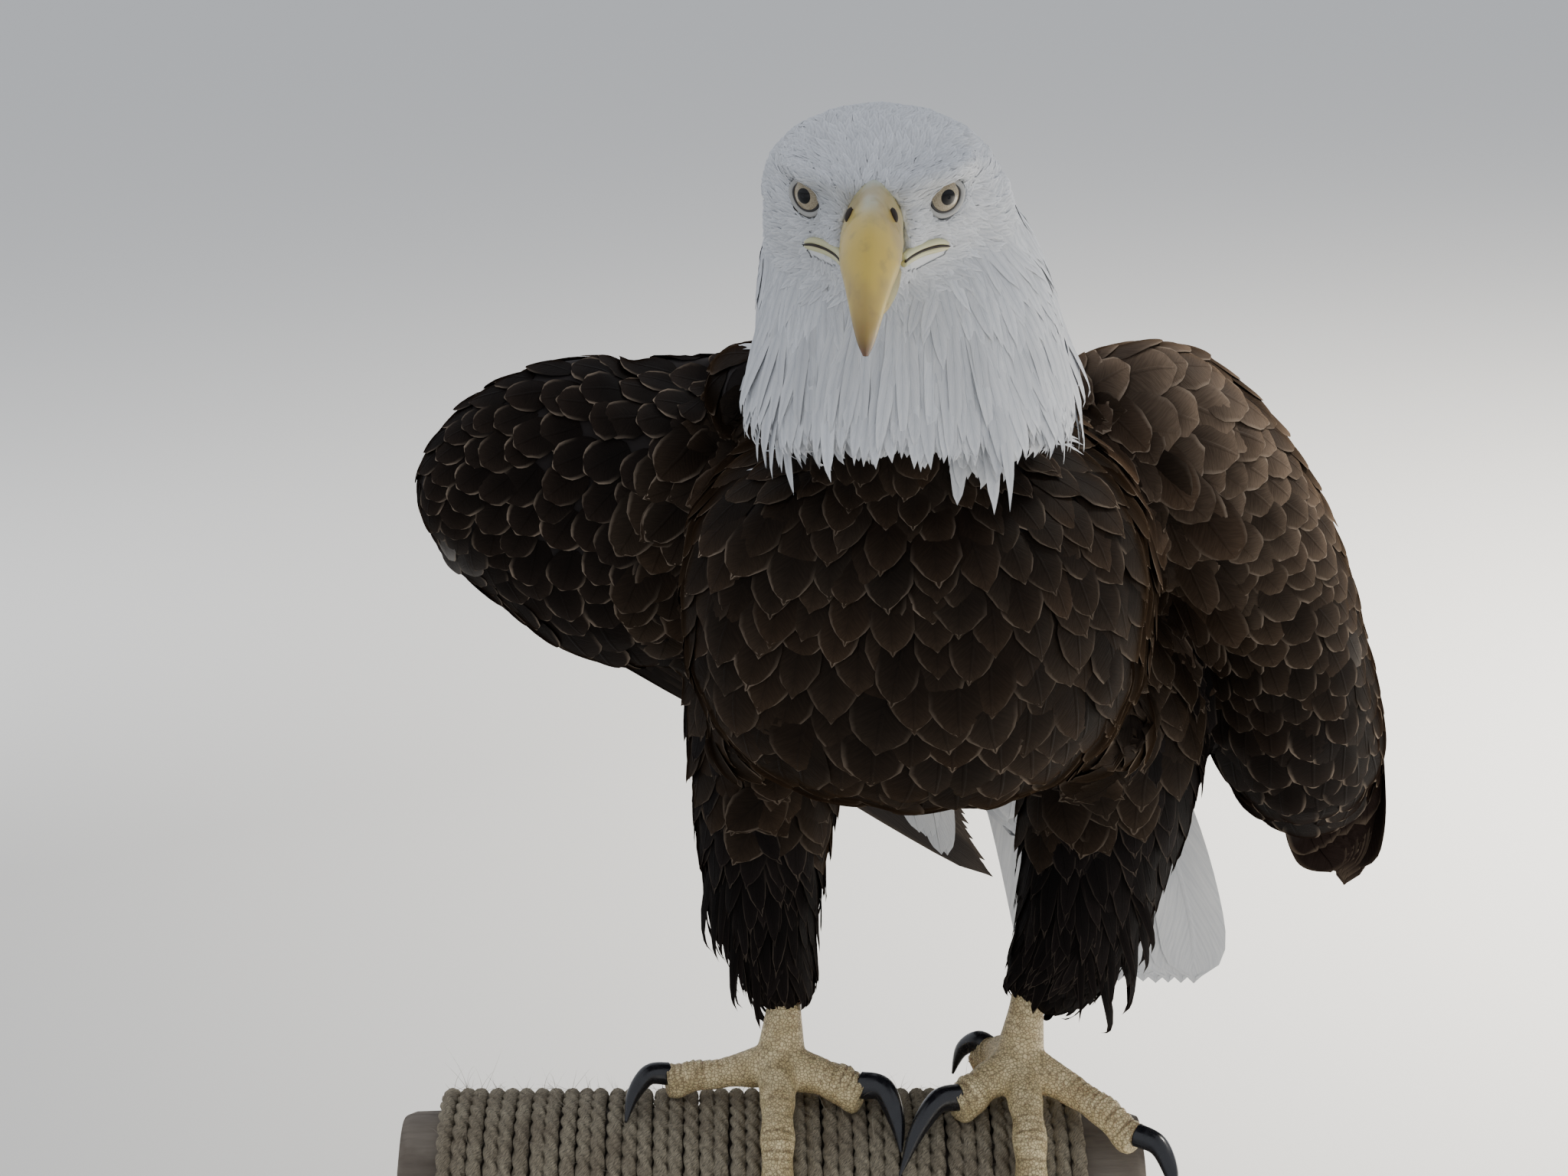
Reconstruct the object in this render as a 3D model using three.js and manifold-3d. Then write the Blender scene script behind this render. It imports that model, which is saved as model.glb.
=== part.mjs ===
// Bald eagle, standing on a rope-wrapped log, as a still life-size display model.
// Units are millimetres, +Z is up and the bird faces -Y.
// The working origin is the top of the perch midway between the feet; the finished
// group is shifted so that its origin is the bottom centre of its bounding box.
import * as THREE from 'three';
import { mergeVertices } from 'three/addons/utils/BufferGeometryUtils.js';
import Module from 'manifold-3d';

const wasm = await Module();
wasm.setup();

// Driving dimensions
const FIT_GAP = 0.3;
const LOG_RADIUS = 46;
const ROPE_RADIUS = 55;
const LOG_START_X = -240;
const LOG_END_X = 114;
const ROPE_START_X = -224;
const ROPE_END_X = 90;
const STAND_TOP_Z = -230;
const STAND_THICKNESS = 22;
const STAND_LENGTH = 360;
const STAND_DEPTH = 300;
const STAND_CENTRE = [10, 50];
const ROD_RADIUS = 9;
const ROD_X = { left: 46, right: -134 };
const EYE_CENTRE = [-21, -157, 450];
const EYE_HALF_SPACING = 28.3;
const EYE_RADIUS = 9.5;
const HEAD_PITCH = THREE.MathUtils.degToRad(13.5);
const HEAD_YAW = THREE.MathUtils.degToRad(4.6);
const FOOT_X = { left: 55, right: -59 };
const THIGH_X = {
  left: [80, 96, 98, 92, 84, 75, 63],
  right: [-62, -66, -66, -67, -63, -59.5, -57],
};
const THIGH_WIDE = {
  left: [40, 46, 46, 39, 33, 25, 13],
  right: [36, 40, 37, 33, 25, 18, 12.5],
};
const SHANK_TOP_X = { left: 60.5, right: -56.5 };
const SHANK_RADIUS = 9;

const MATERIALS = {
  white: new THREE.MeshStandardMaterial({ color: 0xe3e6ea, roughness: 0.8, metalness: 0 }),
  brown: new THREE.MeshStandardMaterial({ color: 0x372b24, roughness: 0.75, metalness: 0 }),
  dark: new THREE.MeshStandardMaterial({ color: 0x241d1a, roughness: 0.7, metalness: 0 }),
  bill: new THREE.MeshStandardMaterial({ color: 0xc9b35a, roughness: 0.4, metalness: 0 }),
  eye: new THREE.MeshStandardMaterial({ color: 0xc2b48e, roughness: 0.1, metalness: 0 }),
  foot: new THREE.MeshStandardMaterial({ color: 0xb8a06a, roughness: 0.6, metalness: 0 }),
  claw: new THREE.MeshStandardMaterial({ color: 0x15161a, roughness: 0.3, metalness: 0 }),
  rope: new THREE.MeshStandardMaterial({ color: 0x8a7b68, roughness: 0.95, metalness: 0 }),
  wood: new THREE.MeshStandardMaterial({ color: 0x6f5b48, roughness: 0.85, metalness: 0 }),
  steel: new THREE.MeshStandardMaterial({ color: 0x9a9c9e, roughness: 0.35, metalness: 1 }),
  board: new THREE.MeshStandardMaterial({ color: 0x2c2a28, roughness: 0.5, metalness: 0 }),
};

// A Catmull-Rom curve through rows of numbers, sampled at count + 1 places.
function smoothRows(rows, count) {
  const last = rows.length - 1;
  return Array.from({ length: count + 1 }, (_, index) => {
    const place = (index / count) * last;
    const cell = Math.min(Math.floor(place), last - 1);
    const t = place - cell;
    const [a, b, c, d] = [-1, 0, 1, 2].map((k) => rows[Math.min(Math.max(cell + k, 0), last)]);
    return b.map((value, k) => value + 0.5 * t * (c[k] - a[k]
      + t * (2 * a[k] - 5 * value + 4 * c[k] - d[k] + t * (3 * (value - c[k]) + d[k] - a[k]))));
  });
}

// A closed solid from a stack of equal rings and a pole beyond each end.
function ringSolid(rings, startPole, endPole) {
  const around = rings[0].length;
  const points = [startPole, ...rings.flat(), endPole];
  const indices = [];
  for (let side = 0; side < around; side += 1) {
    const next = (side + 1) % around;
    indices.push(0, 1 + next, 1 + side);
    for (let ring = 0; ring < rings.length - 1; ring += 1) {
      const low = 1 + ring * around;
      const high = low + around;
      indices.push(low + side, low + next, high + next, low + side, high + next, high + side);
    }
    const top = 1 + (rings.length - 1) * around;
    indices.push(top + side, top + next, points.length - 1);
  }
  let volume = 0;
  for (let k = 0; k < indices.length; k += 3) {
    const [a, b, c] = [0, 1, 2].map((j) => points[indices[k + j]]);
    volume += a.dot(b.clone().cross(c));
  }
  if (volume < 0) {
    indices.reverse();
  }
  const geometry = new THREE.BufferGeometry();
  geometry.setAttribute('position', new THREE.Float32BufferAttribute(points.flatMap((p) => p.toArray()), 3));
  geometry.setIndex(indices);
  return toManifold(geometry);
}

function toManifold(geometry) {
  const plain = geometry.clone();
  for (const name of Object.keys(plain.attributes)) {
    if (name !== 'position') {
      plain.deleteAttribute(name);
    }
  }
  const merged = mergeVertices(plain, 1e-4);
  return new wasm.Manifold(new wasm.Mesh({
    numProp: 3,
    vertProperties: new Float32Array(merged.attributes.position.array),
    triVerts: new Uint32Array(merged.index.array),
  }));
}

// A rounded body along a bent centre line. Key rows: x, y, z, half width, radius above, radius below.
// A square value under 1 fills out the corners of the section.
function loftBody(keys, options = {}) {
  const { rings = 12, around = 14, up = [0, 0, 1], side = null, square = 1, grow = 0 } = options;
  const fill = (value) => Math.sign(value) * Math.abs(value) ** square;
  const rows = smoothRows(keys, rings);
  const centres = rows.map((row) => new THREE.Vector3(row[0], row[1], row[2]));
  const along = centres.map((_, k) => centres[Math.min(k + 1, rings)].clone()
    .sub(centres[Math.max(k - 1, 0)]).normalize());
  const loops = rows.map((row, k) => {
    const upward = new THREE.Vector3(...up);
    const across = side ? new THREE.Vector3(...side) : along[k].clone().cross(upward).normalize();
    const normal = across.clone().cross(along[k]).normalize();
    return Array.from({ length: around }, (_, step) => {
      const angle = (2 * Math.PI * step) / around;
      const lift = fill(Math.sin(angle)) * ((Math.sin(angle) > 0 ? row[4] : row[5]) + grow);
      return centres[k].clone()
        .addScaledVector(across, fill(Math.cos(angle)) * (row[3] + grow))
        .addScaledVector(normal, lift);
    });
  });
  const round = (row) => 0.35 * Math.min(row[3], row[4], row[5]) + grow;
  const startPole = centres[0].clone().addScaledVector(along[0], -round(rows[0]));
  const endPole = centres[rings].clone().addScaledVector(along[rings], round(rows[rings]));
  return ringSolid(loops, startPole, endPole);
}

// A thin fan of flight feathers. Key rows: leading edge point, trailing edge point, thickness.
function featherSlab(keys, { rings = 8, around = 12, grow = 0 } = {}) {
  const rows = smoothRows(keys, rings);
  const lead = rows.map((row) => new THREE.Vector3(row[0], row[1], row[2]));
  const trail = rows.map((row) => new THREE.Vector3(row[3], row[4], row[5]));
  const middle = lead.map((point, k) => point.clone().add(trail[k]).multiplyScalar(0.5));
  const along = middle.map((_, k) => middle[Math.min(k + 1, rings)].clone()
    .sub(middle[Math.max(k - 1, 0)]).normalize());
  const loops = rows.map((row, k) => {
    const half = trail[k].clone().sub(lead[k]).multiplyScalar(0.5);
    const stretch = 1 + grow / half.length();
    const normal = along[k].clone().cross(half).normalize();
    return Array.from({ length: around }, (_, step) => {
      const angle = (2 * Math.PI * step) / around;
      const bulge = Math.sign(Math.sin(angle)) * Math.abs(Math.sin(angle)) ** 0.7;
      return middle[k].clone()
        .addScaledVector(half, Math.cos(angle) * stretch)
        .addScaledVector(normal, bulge * (row[6] / 2 + grow));
    });
  });
  const startPole = middle[0].clone().addScaledVector(along[0], -2 - grow);
  const endPole = middle[rings].clone().addScaledVector(along[rings], 2 + grow);
  return ringSolid(loops, startPole, endPole);
}

function barX(radius, startX, endX, segments) {
  const bar = new THREE.CylinderGeometry(radius, radius, endX - startX, segments);
  bar.rotateZ(Math.PI / 2);
  bar.translate((startX + endX) / 2, 0, -ROPE_RADIUS);
  return toManifold(bar);
}

// Keeps the largest piece of a cut body, dropping slivers.
function largest(body) {
  return body.decompose().reduce((best, piece) => (piece.volume() > best.volume() ? piece : best));
}

const group = new THREE.Group();
group.name = 'bald_eagle';

function addNode(name, body, material) {
  const mesh = largest(body).getMesh();
  const geometry = new THREE.BufferGeometry();
  geometry.setAttribute('position', new THREE.Float32BufferAttribute(mesh.vertProperties, 3));
  geometry.setIndex(new THREE.Uint32BufferAttribute(mesh.triVerts, 1));
  const node = new THREE.Mesh(geometry, MATERIALS[material]);
  node.name = name;
  group.add(node);
}

// Adds a node built by shape(grow), cut back to clear every shape placed before it.
const clearances = [];
function addFitted(name, shape, material) {
  const cut = clearances.reduce((body, other) => body.subtract(other), shape(0));
  addNode(name, cut, material);
  clearances.push(shape(FIT_GAP));
}

// Display stand: a flat board and two rods up to the perch
const board = new THREE.BoxGeometry(STAND_LENGTH, STAND_DEPTH, STAND_THICKNESS);
board.translate(STAND_CENTRE[0], STAND_CENTRE[1], STAND_TOP_Z - STAND_THICKNESS / 2);
addNode('stand_base', toManifold(board), 'board');

const ropeBlock = (grow) => barX(ROPE_RADIUS + grow, ROPE_START_X - grow, ROPE_END_X + grow, 40);

for (const side of ['left', 'right']) {
  const height = -2 * ROPE_RADIUS - STAND_TOP_Z + 6;
  const rod = new THREE.CylinderGeometry(ROD_RADIUS, ROD_RADIUS, height, 20);
  rod.rotateX(Math.PI / 2);
  rod.translate(ROD_X[side], 0, STAND_TOP_Z + FIT_GAP + height / 2);
  addNode(`stand_rod_${side}`, toManifold(rod).subtract(ropeBlock(FIT_GAP)), 'steel');
}

// Perch: a cut length of log inside a sleeve of wound rope
addNode('perch_log', barX(LOG_RADIUS, LOG_START_X, LOG_END_X, 32), 'wood');
const sleeveBore = barX(LOG_RADIUS + FIT_GAP, LOG_START_X - 5, LOG_END_X + 5, 32);
addNode('perch_rope', ropeBlock(0).subtract(sleeveBore), 'rope');
clearances.push(ropeBlock(FIT_GAP), barX(LOG_RADIUS + FIT_GAP, LOG_START_X, LOG_END_X, 32));

// Head frame: forward along the bill, to the bird's left, and up, from the midpoint of the eyes
const forward = new THREE.Vector3(
  -Math.sin(HEAD_YAW) * Math.cos(HEAD_PITCH),
  -Math.cos(HEAD_YAW) * Math.cos(HEAD_PITCH),
  -Math.sin(HEAD_PITCH),
);
const leftward = new THREE.Vector3(Math.cos(HEAD_YAW), -Math.sin(HEAD_YAW), 0);
const crownward = forward.clone().cross(leftward);

function headPoint(ahead, left, above) {
  return new THREE.Vector3(...EYE_CENTRE)
    .addScaledVector(forward, ahead)
    .addScaledVector(leftward, left)
    .addScaledVector(crownward, above);
}

// Key rows in the head frame: ahead, above, half width, radius above, radius below
function headLoft(keys, options) {
  const rows = keys.map(([ahead, above, ...radii]) => [...headPoint(ahead, 0, above).toArray(), ...radii]);
  return loftBody(rows, { side: leftward.clone().negate().toArray(), ...options });
}

const eyeSide = { left: 1, right: -1 };
const eyeBody = (side) => (grow) => {
  const centre = headPoint(-3, eyeSide[side] * (EYE_HALF_SPACING - 3.8), 0);
  return wasm.Manifold.sphere(EYE_RADIUS + grow, 16).translate(centre.toArray());
};
const billUpper = (grow) => headLoft([
  [13, -5, 12, 15, 16],
  [28, -5, 13.6, 17, 17],
  [42, -6, 12.8, 16.5, 16],
  [56, -10, 10.4, 14, 12.5],
  [68, -15.5, 7.6, 11, 9],
  [77, -23, 4.6, 6.5, 4.5],
  [81.5, -31, 1.6, 2, 1.6],
], { rings: 9, around: 12, grow });
const billLower = (grow) => headLoft([
  [12, -26, 9, 6, 7],
  [34, -27.5, 9, 5, 5.5],
  [52, -27, 7, 4, 4],
  [63, -25.5, 3.5, 2.5, 2.5],
], { rings: 5, around: 10, grow });
const head = (grow) => headLoft([
  [-95, -26, 15, 9, 14],
  [-82, -19, 34, 18, 30],
  [-60, -11, 46, 27, 40],
  [-36, -8, 51, 36, 44],
  [-20, -8, 47, 38.5, 43],
  [-8, -8, 38, 36.5, 40],
  [2, -8, 30, 32.5, 37],
  [12, -9, 22.5, 26.5, 31],
  [20, -10, 16, 20.5, 23],
], { rings: 12, around: 16, grow });

for (const side of ['left', 'right']) {
  addFitted(`eye_${side}`, eyeBody(side), 'eye');
}
addFitted('bill_upper', billUpper, 'bill');
addFitted('bill_lower', billLower, 'bill');
addFitted('head', head, 'white');

// Neck and the white ruff that hangs over the breast
const neck = (grow) => loftBody([
  [-17, -80, 456, 30, 34, 29],
  [-14, -86, 432, 54, 52, 49],
  [-9, -92, 406, 62, 60, 67],
  [-5, -92, 382, 66, 62, 88],
  [-4, -92, 366, 65, 61, 98],
  [-4, -91, 353, 55, 53, 92],
], { rings: 10, around: 18, up: [0, -1, 0], grow });
addFitted('neck', neck, 'white');

// Trunk: breast, belly, back and rump in one
const trunk = (grow) => loftBody([
  [-8, -136, 282, 34, 24, 38],
  [-6, -124, 280, 70, 48, 70],
  [-6, -98, 276, 97, 68, 92],
  [0, -58, 268, 104, 84, 101],
  [9, -8, 256, 106, 96, 100],
  [26, 46, 236, 96, 91, 80],
  [42, 98, 212, 74, 70, 58],
  [56, 142, 192, 48, 42, 34],
  [66, 172, 176, 26, 20, 16],
], { rings: 13, around: 20, square: 0.82, grow });
addFitted('trunk', trunk, 'brown');

// Legs: feathered thigh, bare shank
const thigh = (side) => (grow) => {
  const x = THIGH_X[side];
  const wide = THIGH_WIDE[side];
  return loftBody([
    [x[0], 34, 232, wide[0], 46, 44],
    [x[1], 30, 196, wide[1], 50, 48],
    [x[2], 24, 156, wide[2], 42, 42],
    [x[3], 22, 120, wide[3], 35, 36],
    [x[4], 16, 86, wide[4], 29, 30],
    [x[5], 11, 62, wide[5], 21, 23],
    [x[6], 8, 47, wide[6], 13, 13],
  ], { rings: 10, around: 14, up: [0, -1, 0], grow });
};
const shank = (side) => (grow) => loftBody([
  [SHANK_TOP_X[side], 8, 62, SHANK_RADIUS, 10.5, 10.5],
  [0.8 * SHANK_TOP_X[side] + 0.2 * FOOT_X[side], 4, 44, SHANK_RADIUS, 10.5, 10.5],
  [0.3 * SHANK_TOP_X[side] + 0.7 * FOOT_X[side], 1, 26, SHANK_RADIUS + 2, 12, 12],
  [FOOT_X[side], 0, 11, SHANK_RADIUS + 2.5, 11, 12],
], { rings: 6, around: 12, up: [0, -1, 0], grow });

// Toes (1 is the hind toe) as centre points and radius, then claws as centre points and radius
const TOES = {
  right: {
    toe_1: [[-58, 6, 14, 9], [-55, 22, 10, 8.5], [-53, 38, 0, 8.5], [-52, 48, -14, 7.5]],
    toe_2: [[-54, -2, 15, 9], [-42, -6, 15, 8.5], [-30, -10, 12, 9], [-20, -13, 8, 8.5]],
    toe_3: [[-59.5, -4, 14, 9], [-60, -22, 9, 8], [-60, -40, -3, 7.8], [-60, -52, -20, 7.2]],
    toe_4: [[-65, 1, 15, 8.5], [-82, 2, 13, 7], [-99, 2, 11, 7], [-113, 1, 9.5, 7.2]],
  },
  left: {
    toe_1: [[54, 8, 15, 9], [50, 22, 14, 8.5], [45, 31, 9, 8], [40, 36, 2, 7.5]],
    toe_2: [[51, -4, 15, 9], [41, -10, 14, 8.5], [32, -16, 9.5, 9], [24, -21, 5.5, 8]],
    toe_3: [[55, -4, 14, 9], [57, -22, 9, 8], [58, -40, -3, 7.8], [58.5, -52, -20, 7.2]],
    toe_4: [[61, -3, 15, 8.5], [77, -13, 12, 7.3], [94, -26, 5, 7], [108, -38, -4, 7]],
  },
};
const CLAWS = {
  right: {
    claw_1: [[-52, 51, -12, 5.2], [-51, 61, -22, 4.6], [-50, 64, -36, 3.2], [-50, 60, -48, 1.1]],
    claw_2: [[-20, -13, 12, 5.4], [-10, -18, 12, 4.8], [-4, -28, 1, 3.4], [-2, -37, -11, 1.1]],
    claw_3: [[-60, -58, -18, 4.8], [-60, -67, -29, 4.2], [-60, -70, -42, 3], [-60, -66, -54, 1]],
    claw_4: [[-113, 1, 12, 4.6], [-122, -3, 13, 4.1], [-129, -11, 6, 3], [-132, -21, -3, 1]],
  },
  left: {
    claw_1: [[44, 32, 10, 5.2], [34, 36, 14, 4.8], [26, 42, 6, 3.4], [22, 47, -8, 1.1]],
    claw_2: [[25, -20, 9, 5.4], [15, -26, 9, 4.8], [5, -36, -2, 3.4], [-3, -47, -18, 1.1]],
    claw_3: [[58.5, -58, -18, 4.8], [58.5, -67, -29, 4.2], [58.5, -70, -42, 3], [58.5, -66, -54, 1]],
    claw_4: [[108, -40, -1, 4.6], [117, -47, -3, 4.1], [122, -56, -12, 3], [123, -63, -23, 1]],
  },
};
const digit = (points, rings, around) => (grow) => loftBody(
  points.map(([x, y, z, radius]) => [x, y, z, radius, radius, radius]),
  { rings, around, up: [0.3, 0.2, 1], grow },
);
for (const side of ['left', 'right']) {
  addFitted(`thigh_${side}`, thigh(side), 'dark');
  addFitted(`shank_${side}`, shank(side), 'foot');
  for (const name of Object.keys(TOES[side])) {
    addFitted(`${name}_${side}`, digit(TOES[side][name], 5, 9), 'foot');
  }
  for (const name of Object.keys(CLAWS[side])) {
    addFitted(`${name}_${side}`, digit(CLAWS[side][name], 6, 8), 'claw');
  }
}

// Wings, half open and drooping: the feathered arm, then the flight feathers behind it
const armShapes = {
  right: (grow) => loftBody([
    [-62, 30, 312, 34, 30, 34],
    [-84, 34, 302, 56, 54, 62],
    [-112, 38, 288, 60, 70, 84],
    [-142, 38, 284, 58, 74, 80],
    [-172, 28, 288, 50, 70, 64],
    [-196, 12, 291, 38, 55, 44],
    [-212, -2, 291, 25, 34, 33],
    [-221, -8, 288, 11, 14, 14],
  ], { rings: 12, around: 16, grow }),
  left: (grow) => loftBody([
    [88, 8, 366, 22, 18, 18],
    [97, 12, 350, 42, 42, 46],
    [112, 20, 322, 50, 54, 66],
    [142, 22, 290, 48, 56, 76],
    [164, 22, 258, 44, 52, 80],
    [176, 30, 222, 44, 54, 84],
    [188, 48, 178, 46, 58, 88],
    [200, 80, 146, 40, 46, 72],
    [210, 104, 123, 24, 22, 38],
  ], { rings: 13, around: 16, up: [0, -1, 0], grow }),
};
const primaryShapes = {
  right: (grow) => featherSlab([
    [-206, 8, 256, -192, 40, 292, 22],
    [-172, 44, 224, -150, 90, 270, 24],
    [-124, 88, 184, -96, 130, 226, 20],
    [-56, 168, 116, -26, 194, 160, 14],
    [18, 256, 40, 44, 276, 78, 8],
    [74, 322, -19, 84, 326, -6, 4],
    [81, 330, -27, 86, 331, -22, 3],
  ], { rings: 9, grow }),
  left: (grow) => featherSlab([
    [216, 20, 214, 190, 60, 156, 22],
    [237, 84, 166, 192, 104, 108, 20],
    [256, 156, 108, 214, 176, 66, 15],
    [276, 270, 36, 250, 284, 20, 8],
    [290, 376, -28, 274, 380, -36, 4],
    [292, 396, -40, 285, 398, -43, 3],
  ], { rings: 9, grow }),
};
const secondaryShapes = {
  right: (grow) => featherSlab([
    [-186, 50, 286, -128, 112, 340, 26],
    [-152, 104, 266, -88, 170, 312, 26],
    [-90, 164, 222, -34, 238, 264, 18],
    [-26, 224, 158, 10, 292, 206, 10],
    [10, 264, 114, 22, 308, 172, 4],
  ], { rings: 7, grow }),
  left: (grow) => featherSlab([
    [208, 56, 216, 142, 96, 320, 26],
    [230, 112, 172, 136, 160, 288, 26],
    [247, 190, 108, 134, 246, 226, 18],
    [259, 264, 56, 146, 318, 160, 10],
    [254, 312, 32, 190, 346, 96, 4],
  ], { rings: 7, grow }),
};
for (const side of ['right', 'left']) {
  addFitted(`wing_${side}_arm`, armShapes[side], 'brown');
  addFitted(`wing_${side}_primaries`, primaryShapes[side], 'dark');
  addFitted(`wing_${side}_secondaries`, secondaryShapes[side], 'brown');
}

// Tail, drooped and swung to the bird's left, with the soft coverts below its root
const tail = (grow) => featherSlab([
  [96, 152, 192, 34, 148, 186, 34],
  [126, 170, 146, 42, 164, 136, 26],
  [164, 190, 78, 56, 190, 66, 16],
  [190, 226, 4, 70, 226, -6, 10],
  [194, 246, -38, 82, 246, -44, 6],
  [172, 250, -52, 104, 250, -54, 4],
], { rings: 9, around: 14, grow });
const vent = (grow) => loftBody([
  [30, 92, 172, 30, 24, 22],
  [40, 122, 150, 36, 24, 24],
  [58, 148, 118, 34, 20, 22],
  [76, 168, 86, 22, 12, 14],
  [86, 178, 66, 8, 5, 5],
], { rings: 8, around: 14, grow });
addFitted('tail', tail, 'white');
addFitted('undertail', vent, 'white');

// The group's origin becomes the bottom centre of the bounding box
const box = new THREE.Box3().setFromObject(group);
const shift = new THREE.Vector3(-(box.min.x + box.max.x) / 2, -(box.min.y + box.max.y) / 2, -box.min.z);
for (const node of group.children) {
  node.geometry.translate(shift.x, shift.y, shift.z);
  node.geometry = node.geometry.toNonIndexed();
  node.geometry.computeVertexNormals();
}

export default group;
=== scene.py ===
"""A still, life-size bald eagle gripping a rope-wrapped log that a plain display stand holds up."""
import math

import bpy
import numpy as np
from mathutils.bvhtree import BVHTree
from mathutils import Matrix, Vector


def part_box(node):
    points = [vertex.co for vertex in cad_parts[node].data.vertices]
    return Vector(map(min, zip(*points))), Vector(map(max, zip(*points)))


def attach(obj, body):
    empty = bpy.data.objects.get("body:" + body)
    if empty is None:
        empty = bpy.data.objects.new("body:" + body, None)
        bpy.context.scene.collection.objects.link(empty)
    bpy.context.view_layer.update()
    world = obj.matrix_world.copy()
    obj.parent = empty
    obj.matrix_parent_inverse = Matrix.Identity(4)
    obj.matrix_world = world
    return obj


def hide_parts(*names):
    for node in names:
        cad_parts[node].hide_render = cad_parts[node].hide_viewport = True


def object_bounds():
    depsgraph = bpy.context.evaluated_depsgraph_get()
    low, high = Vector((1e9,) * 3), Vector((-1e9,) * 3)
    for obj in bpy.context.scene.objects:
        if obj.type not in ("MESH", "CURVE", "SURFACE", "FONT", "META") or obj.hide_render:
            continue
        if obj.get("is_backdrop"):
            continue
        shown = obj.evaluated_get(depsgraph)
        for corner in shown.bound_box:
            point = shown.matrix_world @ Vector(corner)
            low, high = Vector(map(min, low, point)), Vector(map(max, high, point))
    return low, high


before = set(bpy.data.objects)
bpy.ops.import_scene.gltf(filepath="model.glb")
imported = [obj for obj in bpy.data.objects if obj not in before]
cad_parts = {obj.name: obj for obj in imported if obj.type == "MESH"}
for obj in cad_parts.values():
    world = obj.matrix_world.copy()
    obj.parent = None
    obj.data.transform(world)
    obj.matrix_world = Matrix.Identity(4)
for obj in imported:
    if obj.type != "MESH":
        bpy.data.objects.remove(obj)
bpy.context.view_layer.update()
chance = np.random.default_rng(11)


# ---------------------------------------------------------------------------------------------
# Display stand: a black lacquered board with eased edges and two brushed steel rods, which are
# screwed into the board and run up into the underside of the log.

def linear(hex_colour):
    """Linear RGBA of a hex colour, by the sRGB curve."""
    parts = [int(hex_colour[k:k + 2], 16) / 255 for k in (1, 3, 5)]
    return [p / 12.92 if p <= 0.04045 else ((p + 0.055) / 1.055) ** 2.4 for p in parts] + [1.0]


def new_material(name, sockets):
    """A material with a Principled shader whose plain sockets are set from the dict."""
    material = bpy.data.materials.new(name)
    material.use_nodes = True
    shader = material.node_tree.nodes["Principled BSDF"]
    for socket, value in sockets.items():
        shader.inputs[socket].default_value = value
    return material


def add_node(material, kind, inputs, output=0, **settings):
    """Adds one shader node, sets or links its inputs, and returns one output socket."""
    node = material.node_tree.nodes.new("ShaderNode" + kind)
    for name, value in settings.items():
        setattr(node, name, value)
    for name, value in inputs.items():
        if isinstance(value, bpy.types.NodeSocket):
            material.node_tree.links.new(value, node.inputs[name])
        else:
            node.inputs[name].default_value = value
    return node.outputs[output]


def feed(material, socket, value):
    """Links a value to a socket of the material's shader."""
    material.node_tree.links.new(value, material.node_tree.nodes["Principled BSDF"].inputs[socket])


def calc(material, operation, first, second=0.0):
    return add_node(material, "Math", {0: first, 1: second}, operation=operation)


def step_up(material, value, low, high, start=0.0, end=1.0):
    """A smooth step of the value from start at low to end at high."""
    return add_node(material, "MapRange", {0: value, 1: low, 2: high, 3: start, 4: end},
                    interpolation_type="SMOOTHSTEP")


def mix(material, factor, first, second, blend="MIX"):
    """Mixes two colours."""
    return add_node(material, "Mix", {0: factor, 6: first, 7: second}, output=2, data_type="RGBA",
                    blend_type=blend)


def add_piece(name, points, faces, material, maps=None, colours=None, sharp=None):
    """A mesh object from arrays: maps are UV rows for each vertex, colours RGBA for each vertex."""
    mesh = bpy.data.meshes.new(name)
    faces = np.asarray(faces, np.int32)
    mesh.vertices.add(len(points))
    mesh.vertices.foreach_set("co", np.ascontiguousarray(points, np.float32).ravel())
    mesh.loops.add(faces.size)
    mesh.loops.foreach_set("vertex_index", faces.ravel())
    mesh.polygons.add(len(faces))
    starts = np.arange(0, faces.size, faces.shape[1], dtype=np.int32)
    mesh.polygons.foreach_set("loop_start", starts)
    mesh.polygons.foreach_set("use_smooth", np.ones(len(faces), bool))
    mesh.update(calc_edges=True)
    for label, rows in (maps or {}).items():
        layer = mesh.uv_layers.new(name=label)
        layer.uv.foreach_set("vector", np.asarray(rows, np.float32)[faces.ravel()].ravel())
    if colours is not None:
        layer = mesh.color_attributes.new(name="Plumage", type="FLOAT_COLOR", domain="POINT")
        layer.data.foreach_set("color", np.asarray(colours, np.float32).ravel())
    if sharp:
        mesh.set_sharp_from_angle(angle=math.radians(sharp))
    mesh.materials.append(material)
    piece = bpy.data.objects.new(name, mesh)
    bpy.context.scene.collection.objects.link(piece)
    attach(piece, "root")
    return piece


BOARD_EDGE = 0.002
board_low, board_high = (np.array(corner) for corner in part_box("stand_base"))
lacquer = new_material("black_lacquer", {"Base Color": linear("#211f1e"), "Roughness": 0.38, "IOR": 1.5})
grain = add_node(lacquer, "TexNoise", {"Vector": add_node(lacquer, "TexCoord", {}, 3), "Scale": 60.0})
feed(lacquer, "Roughness", step_up(lacquer, grain, 0.3, 0.7, 0.36, 0.40))
board_corners = np.array([[x, y, z] for x in (0, 1) for y in (0, 1) for z in (0, 1)])
board_faces = [[0, 1, 3, 2], [4, 6, 7, 5], [0, 4, 5, 1], [2, 3, 7, 6], [0, 2, 6, 4], [1, 5, 7, 3]]
stand_base = add_piece("stand_base_board", board_low + board_corners * (board_high - board_low),
                       board_faces, lacquer)
edge = stand_base.modifiers.new("eased_edges", "BEVEL")
edge.width = BOARD_EDGE
edge.segments = 3
stand_base.data.shade_flat()
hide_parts("stand_base")


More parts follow.
